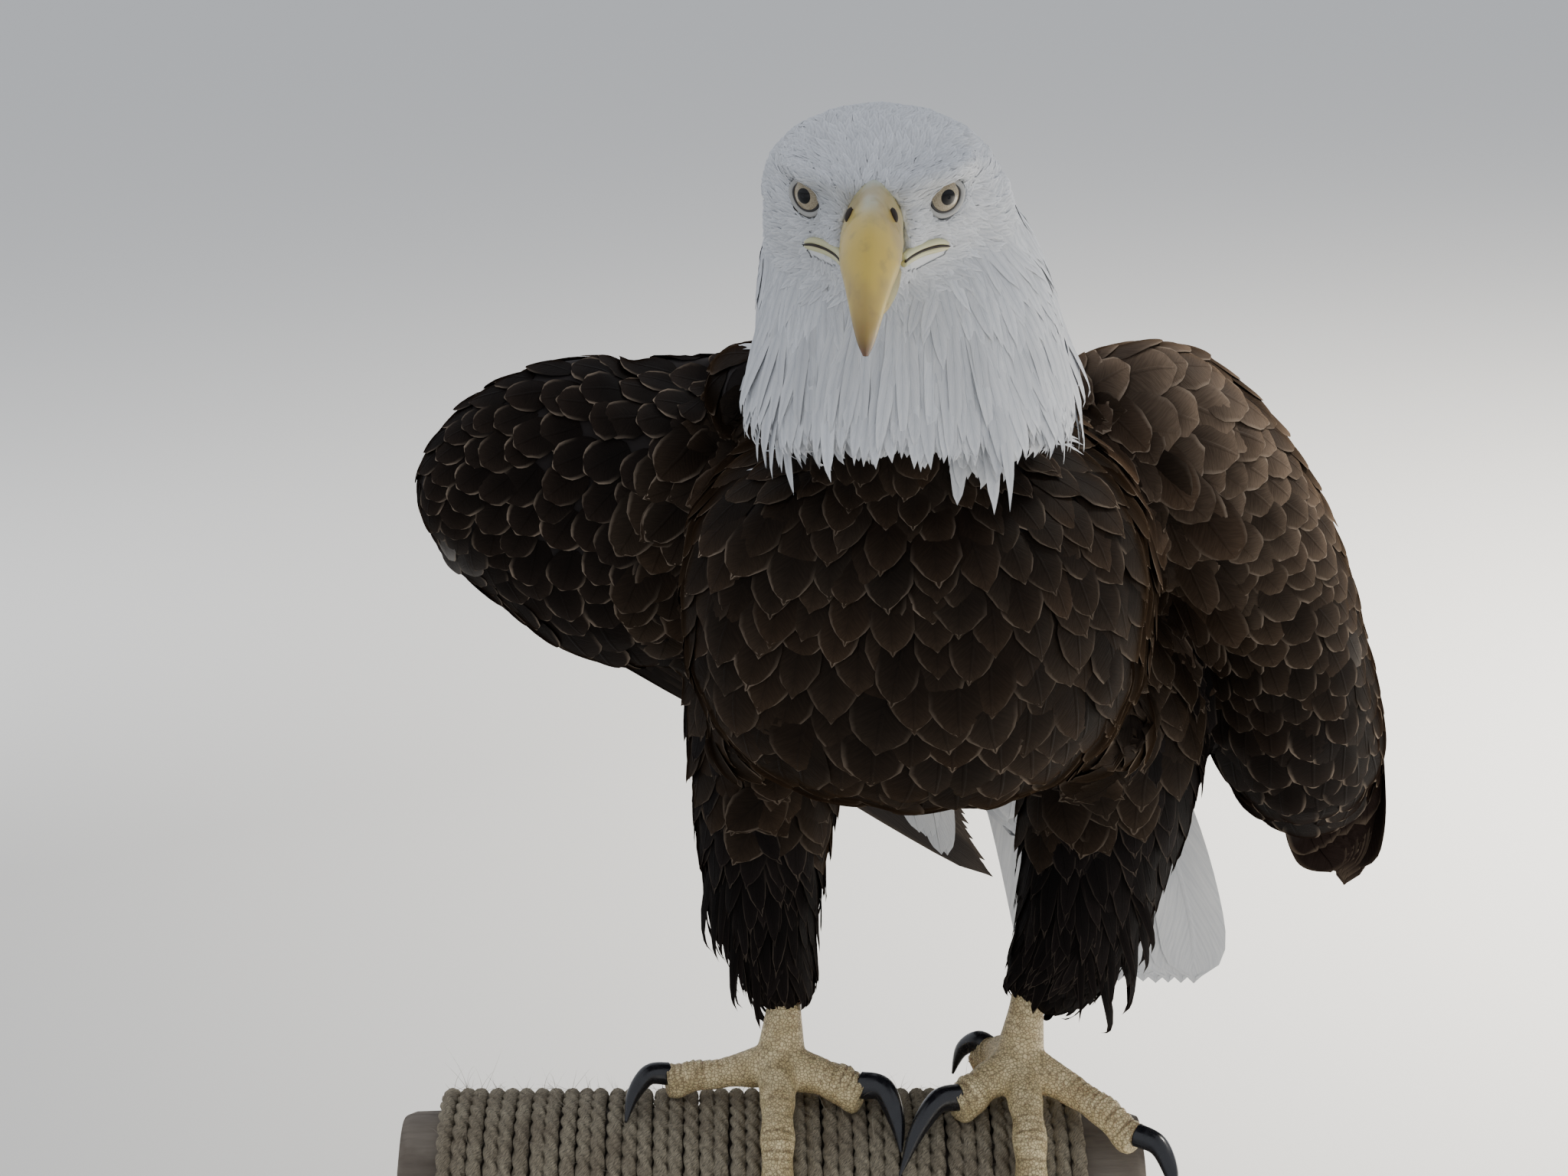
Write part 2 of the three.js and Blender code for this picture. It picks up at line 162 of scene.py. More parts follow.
def unit(vectors):
    """Vectors scaled to length one along the last axis."""
    return vectors / np.maximum(np.linalg.norm(vectors, axis=-1, keepdims=True), 1e-12)


def triangles(quads):
    """Each four-cornered face split into two triangles."""
    quads = np.asarray(quads)
    return np.concatenate([quads[:, [0, 1, 2]], quads[:, [0, 2, 3]]])


FACED_BACK = [0, 3, 2, 1]


def tube_quads(rows, around):
    """The side of a tube whose points run ring after ring: each quad joins a point and the next one of its
    ring to the same two of the ring after. Corners in the order FACED_BACK face the other way."""
    row, column = np.meshgrid(np.arange(rows - 1), np.arange(around), indexing="ij")
    beside = (column + 1) % around
    return np.stack([row * around + column, (row + 1) * around + column,
                     (row + 1) * around + beside, row * around + beside], -1).reshape(-1, 4)


def tube_caps(rows, around):
    """Triangles from the first and last rings of a tube to its two poles, which come after the rings."""
    turn = np.arange(around)
    after = (turn + 1) % around
    last = (rows - 1) * around
    return np.concatenate([
        np.stack([np.full(around, rows * around), turn, after], -1),
        np.stack([np.full(around, rows * around + 1), last + after, last + turn], -1)])


def sweep(centres, wide, above, below, up, around=24, pinch=0.0):
    """A closed tube: an ellipse-like ring round each centre, wider or narrower by row, and a pole at each
    end. pinch narrows the ring towards its top, as on a bill's ridge."""
    centres = np.asarray(centres, float)
    rows = len(centres)
    ahead = unit(np.gradient(centres, axis=0))
    across = unit(np.cross(ahead, up))
    normal = np.cross(across, ahead)
    angle = np.linspace(0, 2 * np.pi, around, endpoint=False)
    rise = np.sin(angle)
    wide, above, below = (np.broadcast_to(value, rows)[:, None] for value in (wide, above, below))
    side = np.cos(angle) * (1 - pinch * np.maximum(rise, 0) ** 2) * wide
    lift = rise * np.where(rise > 0, above, below)
    rings = centres[:, None] + side[..., None] * across[:, None] + lift[..., None] * normal[:, None]
    points = np.concatenate([rings.reshape(-1, 3), centres[[0, -1]]])
    run = np.repeat(np.linspace(0, 1, rows), around)
    maps = np.stack([np.tile(angle / (2 * np.pi), rows), run], -1)
    maps = np.concatenate([maps, [[0.5, 0.0], [0.5, 1.0]]])
    faces = np.concatenate([triangles(tube_quads(rows, around)), tube_caps(rows, around)])
    return points, faces[:, ::-1], maps


steel = new_material("brushed_steel", {"Base Color": linear("#a3a5a8"), "Metallic": 1.0, "Roughness": 0.34})
for side in ("left", "right"):
    rod_low, rod_high = (np.array(corner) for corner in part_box(f"stand_rod_{side}"))
    radius = (rod_high[0] - rod_low[0]) / 2
    middle = (rod_low + rod_high) / 2
    heights = np.array([rod_low[2], rod_low[2] + 0.001, rod_high[2] - 0.001, rod_high[2]])
    line = np.stack([np.full(4, middle[0]), np.full(4, middle[1]), heights], -1)
    easing = np.array([radius - 0.0008, radius, radius, radius - 0.0008])
    points, faces, _ = sweep(line, easing, easing, easing, (0, 1, 0), around=48)
    rod = add_piece(f"stand_rod_{side}_bar", points, faces, steel, sharp=40)
    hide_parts(f"stand_rod_{side}")


# ---------------------------------------------------------------------------------------------
# Perch: a cut length of bare weathered log. Everything on the bird is measured from the top of
# the rope round it, midway between the feet.

rope_low, rope_high = (np.array(corner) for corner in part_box("perch_rope"))
log_low, log_high = (np.array(corner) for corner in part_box("perch_log"))
ROPE_START = 0.224
PERCH_TOP = np.array([rope_low[0] + ROPE_START, (rope_low[1] + rope_high[1]) / 2, rope_high[2]])
ROPE_RADIUS = (rope_high[2] - rope_low[2]) / 2
LOG_RADIUS = (log_high[2] - log_low[2]) / 2
LOG_LINE = PERCH_TOP - [0, 0, ROPE_RADIUS]


def place(millimetres):
    """A point or points given in millimetres from the perch top, in the row frame."""
    return PERCH_TOP + np.asarray(millimetres, float) * 0.001


LOG_AROUND = 96
LOG_CHAMFER = 0.004
log_x = np.concatenate([[log_low[0], log_low[0] + 0.0015],
                        np.linspace(log_low[0] + LOG_CHAMFER, log_high[0] - LOG_CHAMFER, 90),
                        [log_high[0] - 0.0015, log_high[0]]])
log_column = log_x[:, None]
log_angle = np.linspace(0, 2 * np.pi, LOG_AROUND, endpoint=False)
knots = (0.0009 * np.sin(3 * log_angle + 14 * log_column)
         + 0.0007 * np.sin(7 * log_angle - 31 * log_column))
cracks = -0.0016 * np.exp(-(((log_angle - 2.1 + 0.5 * np.sin(9 * log_column)) / 0.03) ** 2))
ends = np.minimum(1, np.minimum(log_x - log_low[0], log_high[0] - log_x)[:, None] / LOG_CHAMFER)
log_reach = LOG_RADIUS - 0.0016 - 0.0014 * (1 - ends) + knots + cracks
rings = np.stack([np.repeat(log_column, LOG_AROUND, 1), LOG_LINE[1] + log_reach * np.cos(log_angle),
                  LOG_LINE[2] + log_reach * np.sin(log_angle)], -1)
log_faces = np.concatenate([triangles(tube_quads(len(log_x), LOG_AROUND)[:, FACED_BACK]),
                            tube_caps(len(log_x), LOG_AROUND)[:, [0, 2, 1]]])
log_ends = [[log_low[0], *LOG_LINE[1:]], [log_high[0], *LOG_LINE[1:]]]
log_points = np.concatenate([rings.reshape(-1, 3), log_ends])
wood = new_material("weathered_wood", {"Roughness": 0.85, "IOR": 1.45})
spot = add_node(wood, "TexCoord", {}, 3)
stretched = add_node(wood, "Mapping", {"Vector": spot, "Scale": (7.0, 60.0, 60.0)})
fibre = add_node(wood, "TexNoise", {"Vector": stretched, "Scale": 3.0, "Detail": 8.0, "Roughness": 0.65})
centred = add_node(wood, "Mapping", {"Vector": spot, "Location": (0.0, -LOG_LINE[1], -LOG_LINE[2])})
growth = add_node(wood, "TexWave", {"Vector": centred, "Scale": 90.0, "Distortion": 2.5, "Detail": 2.0},
                  wave_type="RINGS", rings_direction="X")
tone = mix(wood, fibre, linear("#4a4038"), linear("#948a7c"))
feed(wood, "Base Color", mix(wood, step_up(wood, growth, 0.0, 1.0, 0.0, 0.28), tone, linear("#3b2b1f")))
feed(wood, "Normal", add_node(wood, "Bump", {"Height": fibre, "Strength": 0.7, "Distance": 0.0012}))
log_piece = add_piece("perch_log_wood", log_points, log_faces, wood, sharp=35)
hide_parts("perch_log")

# Rope: three-strand natural-fibre rope wound in close turns. The strands are ridges that twist along the
# rope, and broken fibres stand out of it as fuzz.

ROPE_THICKNESS = 0.0074
turns = int((rope_high[0] - rope_low[0]) / ROPE_THICKNESS)
RINGS_A_TURN = 180
run = np.linspace(0, turns, turns * RINGS_A_TURN)
coil_radius = ROPE_RADIUS - ROPE_THICKNESS / 2
wander = 0.0005 * np.sin(run * 2.3) + 0.0003 * np.sin(run * 17.0)
advance = (rope_high[0] - rope_low[0] - ROPE_THICKNESS) * run / turns
coil = np.stack([rope_low[0] + ROPE_THICKNESS / 2 + advance + wander,
                 LOG_LINE[1] + coil_radius * np.cos(2 * np.pi * run),
                 LOG_LINE[2] + coil_radius * np.sin(2 * np.pi * run)], -1)
ROPE_AROUND = 12
ROPE_LAY = 0.009
on_axis = np.stack([coil[:, 0], np.full(len(coil), LOG_LINE[1]), np.full(len(coil), LOG_LINE[2])], -1)
outward = unit(coil - on_axis)
along = unit(np.gradient(coil, axis=0))
beside_rope = np.cross(along, outward)
rope_angle = np.linspace(0, 2 * np.pi, ROPE_AROUND, endpoint=False)
twist = run[:, None] * 2 * np.pi * coil_radius / ROPE_LAY * 2 * np.pi / 3
strand = np.abs(np.cos(1.5 * (rope_angle[None] - twist)))
rope_reach = ROPE_THICKNESS * (0.29 + 0.26 * strand ** 0.6)
rings = (coil[:, None] + (rope_reach * np.cos(rope_angle))[..., None] * beside_rope[:, None]
         + (rope_reach * np.sin(rope_angle))[..., None] * outward[:, None])
fan_out = np.arange(1, ROPE_AROUND - 1)
start_cap = np.stack([np.zeros_like(fan_out), fan_out + 1, fan_out], -1)
end_cap = (len(coil) - 1) * ROPE_AROUND + start_cap[:, [0, 2, 1]]
rope_faces = np.concatenate([triangles(tube_quads(len(coil), ROPE_AROUND)[:, FACED_BACK]),
                             start_cap, end_cap])
rope_maps = np.stack([np.tile(rope_angle / (2 * np.pi), len(coil)),
                      np.repeat(run * 2 * np.pi * coil_radius, ROPE_AROUND)], -1)
rope_maps[:, 0] += np.repeat(twist[:, 0] / (2 * np.pi), ROPE_AROUND)
fibre_rope = new_material("natural_fibre_rope", {"Roughness": 0.95, "IOR": 1.4})
lay_map = add_node(fibre_rope, "UVMap", {}, uv_map="Lay")
drawn = add_node(fibre_rope, "Mapping", {"Vector": lay_map, "Scale": (16.0, 160.0, 1.0)})
threads = add_node(fibre_rope, "TexNoise", {"Vector": drawn, "Scale": 3.0, "Detail": 6.0, "Roughness": 0.7})
blotch = add_node(fibre_rope, "TexNoise", {"Vector": add_node(fibre_rope, "TexCoord", {}, 3), "Scale": 55.0})
rope_tone = mix(fibre_rope, step_up(fibre_rope, threads, 0.3, 0.7), linear("#4a443b"), linear("#c6b99e"))
feed(fibre_rope, "Base Color", mix(fibre_rope, step_up(fibre_rope, blotch, 0.4, 0.75, 0.0, 0.45), rope_tone,
                                   linear("#5c4c3c")))
feed(fibre_rope, "Normal",
     add_node(fibre_rope, "Bump", {"Height": threads, "Strength": 0.9, "Distance": 0.0012}))
rope = add_piece("perch_rope_turns", rings.reshape(-1, 3), rope_faces, fibre_rope, {"Lay": rope_maps})
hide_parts("perch_rope")
FUZZ = 3200
pick = chance.integers(0, len(coil), FUZZ)
start = coil[pick] + outward[pick] * ROPE_THICKNESS * 0.4
aim = unit(outward[pick] * chance.uniform(0.1, 1, (FUZZ, 1)) + chance.normal(0, 0.7, (FUZZ, 3)))
sag = unit(chance.normal(0, 1, (FUZZ, 3)))
HAIR_ROWS = 5
reach = np.linspace(0, 1, HAIR_ROWS)
long = chance.gamma(2.2, 0.0035, FUZZ).clip(0.003, 0.022)[:, None, None]
hair = start[:, None] + long * (aim[:, None] * reach[:, None] + sag[:, None] * 0.45 * reach[:, None] ** 2)


# ---------------------------------------------------------------------------------------------
# Skin: the bird's body under its plumage, in one piece from the head to the feathered thighs
# and out along the arms of both wings. It is cast round the solids and drawn in by the coat's depth.

FLESH = ["head", "neck", "trunk", "undertail", "thigh_left", "thigh_right", "wing_left_arm",
         "wing_right_arm"]
COAT_DEPTH = 0.0045
SKIN_CELL = 0.0032
WHITE_EDGE = 0.006


def node_mesh(name):
    """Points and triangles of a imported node."""
    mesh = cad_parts[name].data
    points = np.empty(len(mesh.vertices) * 3, np.float32)
    mesh.vertices.foreach_get("co", points)
    mesh.calc_loop_triangles()
    corners = np.empty(len(mesh.loop_triangles) * 3, np.int32)
    mesh.loop_triangles.foreach_get("vertices", corners)
    return points.reshape(-1, 3).astype(float), corners.reshape(-1, 3)


def join(parts):
    """Several (points, faces) pairs as one."""
    offsets = np.cumsum([0] + [len(points) for points, _ in parts[:-1]])
    return (np.concatenate([points for points, _ in parts]),
            np.concatenate([faces + offset for (_, faces), offset in zip(parts, offsets)]))


def recast(name, parts, cell, smoothing):
    """One closed surface round joined parts, voxel cast and smoothed, with its normals."""
    points, faces = join(parts)
    mesh = bpy.data.meshes.new(name)
    mesh.from_pydata(points.tolist(), [], faces.tolist())
    rough = bpy.data.objects.new(name, mesh)
    bpy.context.scene.collection.objects.link(rough)
    cast = rough.modifiers.new("cast", "REMESH")
    cast.mode = "VOXEL"
    cast.voxel_size = cell
    relax = rough.modifiers.new("relax", "SMOOTH")
    relax.iterations = smoothing
    finished = bpy.data.meshes.new_from_object(rough.evaluated_get(bpy.context.evaluated_depsgraph_get()))
    points = np.empty(len(finished.vertices) * 3, np.float32)
    finished.vertices.foreach_get("co", points)
    normals = np.empty(len(finished.vertices) * 3, np.float32)
    finished.vertex_normals.foreach_get("vector", normals)
    finished.calc_loop_triangles()
    corners = np.empty(len(finished.loop_triangles) * 3, np.int32)
    finished.loop_triangles.foreach_get("vertices", corners)
    bpy.data.objects.remove(rough)
    bpy.data.meshes.remove(finished)
    return points.reshape(-1, 3).astype(float), corners.reshape(-1, 3), normals.reshape(-1, 3).astype(float)


def gap_to(name, points):
    """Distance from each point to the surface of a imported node."""
    corners, faces = node_mesh(name)
    tree = BVHTree.FromPolygons(corners.tolist(), faces.tolist())
    return np.array([tree.find_nearest(point)[3] for point in points.tolist()])


EYES_MIDDLE = place([-21, -157, 450])
HEAD_PITCH = math.radians(13.5)
HEAD_YAW = math.radians(4.6)
HEAD_AHEAD = np.array([-math.sin(HEAD_YAW) * math.cos(HEAD_PITCH),
                       -math.cos(HEAD_YAW) * math.cos(HEAD_PITCH), -math.sin(HEAD_PITCH)])
HEAD_LEFT = np.array([math.cos(HEAD_YAW), -math.sin(HEAD_YAW), 0.0])
HEAD_UP = np.cross(HEAD_AHEAD, HEAD_LEFT)


def head_place(rows):
    """Points given in millimetres ahead, to the bird's left and above the midpoint of the eyes."""
    rows = np.asarray(rows, float) * 0.001
    return EYES_MIDDLE + rows[..., :1] * HEAD_AHEAD + rows[..., 1:2] * HEAD_LEFT + rows[..., 2:3] * HEAD_UP


def smooth_path(rows, count):
    """A Catmull-Rom curve through the rows, at evenly spaced places between them."""
    rows = np.asarray(rows, float)
    place_on = np.linspace(0, len(rows) - 1, count)
    cell = np.minimum(place_on.astype(int), len(rows) - 2)
    t = (place_on - cell)[:, None]
    a, b, c, d = (rows[np.clip(cell + k, 0, len(rows) - 1)] for k in (-1, 0, 1, 2))
    return b + 0.5 * t * (c - a + t * (2 * a - 5 * b + 4 * c - d + t * (3 * (b - c) + d - a)))


brows = []
for side in (1, -1):
    ridge = smooth_path([[18, side * 12, 9.6, 4.6], [14, side * 19, 11.6, 6.4],
                         [7.6, side * 26.5, 11.4, 7.4], [-3, side * 32.5, 10.9, 7.4],
                         [-18, side * 37, 8, 6]], 14)
    points, faces, _ = sweep(head_place(ridge[:, :3]), *(ridge[:, 3] / 1000,) * 3, HEAD_UP, around=10)
    brows.append((points, faces))
FILLERS = [[[-18, -96, 458, 26], [-13, -80, 436, 31], [-8, -62, 410, 36], [-3, -44, 382, 42],
            [4, -12, 343, 44], [6, 14, 324, 46], [8, 40, 308, 46]],
           [[-36, -56, 372, 30], [-32, -20, 344, 36], [-28, 18, 322, 38]],
           [[-64, -36, 348, 23], [-70, -2, 345, 26], [-62, 30, 326, 28]],
           [[38, -54, 368, 30], [38, -20, 342, 36], [36, 18, 320, 38]],
           [[-5, -88, 372, 50], [0, -70, 310, 50]], [[10, -122, 448, 26], [22, -98, 412, 26]],
           [[-44, -118, 442, 24], [-44, -96, 408, 24]], [[-50, 20, 295, 34], [-110, 30, 295, 34]],
           [[70, 15, 300, 36], [120, 20, 300, 36]], [[-60, 40, 343, 17], [-122, 50, 338, 17]],
           [[40, 80, 190, 18], [46, 120, 160, 18]], [[106, 40, 320, 25], [122, 56, 195, 25]],
           [[-64, -30, 205, 30], [-66, 22, 165, 26]], [[82, -30, 205, 30], [88, 22, 165, 26]],
           [[76, 14, 94, 24], [68, 12, 76, 16]], [[63, 11, 78, 12], [61, 9, 52, 11]],
           [[-63, 14, 94, 19], [-60, 12, 76, 14]], [[-58, 10, 78, 12], [-56.5, 9, 50, 11]]]
filling = []
for rows in FILLERS:
    path = smooth_path(rows, 10)
    points, faces, _ = sweep(place(path[:, :3]), *(path[:, 3] / 1000,) * 3, (0.3, 0.9, 0.3), around=14)
    filling.append((points, faces))
arc = np.linspace(-0.35, np.pi + 0.35, 20)
collar = head_place(np.stack([np.full(20, 19.0), 11.6 * np.cos(arc), 15.0 * np.sin(arc) - 5.5], -1))
points, faces, _ = sweep(collar, 0.0024, 0.0024, 0.0024, HEAD_AHEAD, around=10)
filling.append((points, faces))
skin_points, skin_faces, skin_normals = recast(
    "skin_cast", [node_mesh(name) for name in FLESH] + brows + filling, SKIN_CELL, 5)


def square_distance(first, second):
    """Squared distances between two lists of points, as a table."""
    return np.maximum((first ** 2).sum(1)[:, None] + (second ** 2).sum(1) - 2 * first @ second.T, 0)


WHITE = linear("#e8e9ea")
BROWN = linear("#34291f")
BLACKISH = linear("#1d1715")
flesh_gap = np.stack([gap_to(name, skin_points) for name in FLESH], 1)
depth = np.interp(flesh_gap[:, :2].min(1), [0.002, 0.02], [0.003, COAT_DEPTH])
by_bill = np.linalg.norm(skin_points - head_place([24, 0, -4]), axis=1)
depth = np.minimum(depth, np.interp(by_bill, [0.018, 0.034], [0.001, COAT_DEPTH]))
above_feet = skin_points[:, 2] - place([0, 0, 50])[2]
depth = np.minimum(depth, np.interp(above_feet, [0, 0.03], [0.001, COAT_DEPTH]))
beside_neck = (skin_points[:, 0] < place([-50, 0, 0])[0]) & (flesh_gap[:, FLESH.index("neck")] > 0.004)
sunk_shoulder = np.exp(-((skin_points - place([107, 25, 374])) ** 2).sum(1) / 0.038 ** 2)
skin_points -= skin_normals * (depth + 0.011 * sunk_shoulder)[:, None]
skin_owner = flesh_gap.argmin(1)
skin_tree = BVHTree.FromPolygons(skin_points.tolist(), skin_faces.tolist())
white_flesh = [FLESH.index(name) for name in ("head", "neck", "undertail")]
brown_flesh = [k for k in range(len(FLESH)) if k not in white_flesh]
# Below the ruff's hem in front the skin is painted blackish: painted shade under the hanging ruff, seen
# between its feathers.
shaded_under_ruff = (skin_points[:, 2] < place([0, 0, 357])[2]) & (skin_points[:, 1] < place([0, -40, 0])[1])
to_brown, to_white = (flesh_gap[:, which].min(1) for which in (brown_flesh, white_flesh))
skin_white = ~(shaded_under_ruff | beside_neck) * np.clip(0.5 + (to_brown - to_white) / WHITE_EDGE, 0, 1)
skin_white = skin_white[:, None]
skin_colours = skin_white * np.array(WHITE) * 0.95 + (1 - skin_white) * np.array(BLACKISH)
skin_material = new_material("skin_and_down", {"Roughness": 0.9, "IOR": 1.4})
feed(skin_material, "Base Color", add_node(skin_material, "Attribute", {}, 0, attribute_name="Plumage"))
skin = add_piece("skin", skin_points, skin_faces, skin_material, colours=skin_colours)
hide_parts(*FLESH)


# ---------------------------------------------------------------------------------------------
# Plumage: each feather is a thin closed vane with a raised middle, rooted in the skin and laid
# along it. A vane carries its own map, across and along, that its rim, shaft and barbs follow.

VANE_ROWS = np.array([0, 0.14, 0.38, 0.64, 0.83, 0.94, 1.0])
BROAD_ROWS = np.array([0, 0.12, 0.28, 0.46, 0.64, 0.77, 0.88, 0.95, 1.0])
OUTLINES = {
    "round": np.array([0.3, 0.72, 1, 1, 0.87, 0.64, 0.25]),
    "pointed": np.array([0.3, 0.75, 1, 0.97, 0.66, 0.3, 0.03]),
    "lance": np.array([0.6, 0.9, 1, 0.85, 0.58, 0.3, 0.04]),
}


def feather_material(name, barb_colour, rim_colour, shaft_shade, roughness, barb_depth, root_shade):
    """Vane finish: the plumage colour, darker towards the root (partly the greyer base of a real feather,
    partly painted shade under the overlapping feathers), a pale rim as strong as the colour's alpha, a shaft
    and barbs.
    """
    material = new_material(name, {"Roughness": roughness, "IOR": 1.45})
    facing = add_node(material, "LayerWeight", {"Blend": 0.5}, 1)
    feed(material, "Specular IOR Level", step_up(material, facing, 0.4, 0.8, 0.07, 0.0))
    plumage = add_node(material, "Attribute", {}, 0, attribute_name="Plumage")
    rim_power = add_node(material, "Attribute", {}, 3, attribute_name="Plumage")
    vane_map = add_node(material, "UVMap", {}, uv_map="Vane")
    across = add_node(material, "SeparateXYZ", {"Vector": vane_map}, 0)
    along_vane = add_node(material, "SeparateXYZ", {"Vector": vane_map}, 1)
    out = calc(material, "MULTIPLY", calc(material, "ABSOLUTE", calc(material, "SUBTRACT", across, 0.5)),
               2.0)
    edge_rim = calc(material, "MULTIPLY", step_up(material, out, 0.78, 1.0),
                    step_up(material, along_vane, 0.3, 0.75))
    tip_rim = step_up(material, along_vane, 0.9, 0.99)
    rim = calc(material, "MAXIMUM", edge_rim, tip_rim)
    barb_place = calc(material, "SUBTRACT", calc(material, "MULTIPLY", along_vane, 46.0),
                      calc(material, "MULTIPLY", out, 11.0))
    barb_vector = add_node(material, "CombineXYZ", {0: barb_place, 1: calc(material, "MULTIPLY", out, 1.5),
                                                    2: rim_power})
    barbs = add_node(material, "TexNoise",
                     {"Vector": barb_vector, "Scale": 1.3, "Detail": 3.0, "Roughness": 0.6})
    middle = calc(material, "MULTIPLY", step_up(material, out, 0.0, 0.8, 0.3, 0.0),
                  step_up(material, along_vane, 0.55, 0.95, 1.0, 0.2))
    # Partly painted shade: each vane darkens towards its root by root_shade, for the greyer base of a real
    # feather and for the shade under the feathers that overlap it.
    sunk = mix(material, step_up(material, along_vane, 0.25, 0.85, root_shade, 0.0), plumage,
               (0.1, 0.09, 0.09, 1.0), "MULTIPLY")
    deeper = mix(material, middle, sunk, barb_colour, "MULTIPLY")
    shaded = mix(material, step_up(material, barbs, 0.35, 0.7, 0.0, 0.35), deeper, barb_colour, "MULTIPLY")
    rimmed = mix(material, calc(material, "MULTIPLY", rim, rim_power), shaded, rim_colour)
    shaft = calc(material, "MULTIPLY", step_up(material, out, 0.02, 0.09, 1.0, 0.0),
                 step_up(material, along_vane, 0.8, 0.97, 1.0, 0.0))
    toned = mix(material, calc(material, "MULTIPLY", shaft, 0.08), rimmed, shaft_shade)
    feed(material, "Base Color", toned)
    height = calc(material, "ADD", barbs, calc(material, "MULTIPLY", shaft, 1.2))
    feed(material, "Normal",
         add_node(material, "Bump", {"Height": height, "Strength": 0.5, "Distance": barb_depth}))
    return material


brown_vane = feather_material("brown_feather_vane", linear("#80756d"), linear("#8f7f6e"), linear("#120e0c"),
                              0.62, 0.0005, 0.7)
white_vane = feather_material("white_feather_vane", linear("#c4c9d2"), linear("#ffffff"), linear("#c2c4c8"),
                              0.62, 0.0004, 0.12)


def on_skin(points):
    """Nearest skin place and outward normal for each point."""
    found = [skin_tree.find_nearest(point) for point in points.tolist()]
    return np.array([hit[0] for hit in found]), np.array([hit[1] for hit in found])


def tangent(vectors, normals):
    """The part of each vector that lies along the surface."""
    return unit(vectors - (vectors * normals).sum(1, keepdims=True) * normals)


def row_distance(first, ways, second, stretch):
    """Squared distances with the part along each first point's way stretched, so feathers fall in rows."""
    along_way = (first * ways).sum(1)[:, None] - ways @ second.T
    return square_distance(first, second) + (stretch ** 2 - 1) * along_way ** 2


def scatter(names, spacing, heading, stretch, evening, tries=9):
    """Random roots on the skin of the named nodes, none nearer to another than the spacing there, then
    evened out: every root is pushed off its neighbours and put back on the skin, some times over."""
    owned = np.isin(skin_owner[skin_faces[:, 0]], [FLESH.index(name) for name in names])
    a, b, c = (skin_points[skin_faces[owned, k]] for k in range(3))
    area = np.linalg.norm(np.cross(b - a, c - a), axis=1) / 2
    wanted = area * stretch / spacing((a + b + c) / 3) ** 2
    count = int(wanted.sum() * tries)
    pick = chance.choice(len(area), count, p=wanted / wanted.sum())
    first, second = chance.random((2, count, 1))
    flip = first + second > 1
    first, second = np.where(flip, 1 - first, first), np.where(flip, 1 - second, second)
    roots, normals = on_skin(a[pick] + first * (b - a)[pick] + second * (c - a)[pick])
    ways = tangent(heading(roots), normals)
    room = spacing(roots)[:, None] ** 2
    kept = np.zeros(0, int)
    for start in range(0, len(roots), 1500):
        batch = np.arange(start, min(start + 1500, len(roots)))
        if len(kept):
            taken = row_distance(roots[batch], ways[batch], roots[kept], stretch) < room[batch]
            batch = batch[~taken.any(1)]
        close = row_distance(roots[batch], ways[batch], roots[batch], stretch) < room[batch]
        kept = np.concatenate([kept, batch[~np.tril(close, -1).any(1)]])
    roots, normals = roots[kept], normals[kept]
    for _ in range(evening):
        reach = 1.35 * spacing(roots)[:, None]
        ways = tangent(heading(roots), normals)
        gap = np.sqrt(row_distance(roots, ways, roots, stretch)) + np.eye(len(roots))
        push = np.clip(1 - gap / reach, 0, 1) / gap
        roots, normals = on_skin(roots + (roots * push.sum(1, keepdims=True) - push @ roots) * reach * 0.45)
    return roots, normals


def lay_shafts(roots, normals, heading, length, rows, cling):
    """Walks every shaft over the skin: each step goes straight ahead, then is drawn to the skin by cling."""
    spine, ups, ahead = [roots], [normals], unit(heading)
    for part in np.diff(rows):
        reached = spine[-1] + ahead * (length * part)[:, None]
        near, normal = on_skin(reached)
        landed = reached + (near - reached) * cling[:, None]
        ahead = unit(landed - spine[-1])
        spine.append(landed)
        ups.append(unit(ups[-1] * (1 - cling[:, None]) + normal * cling[:, None]))
    return np.stack(spine, 1), np.stack(ups, 1)


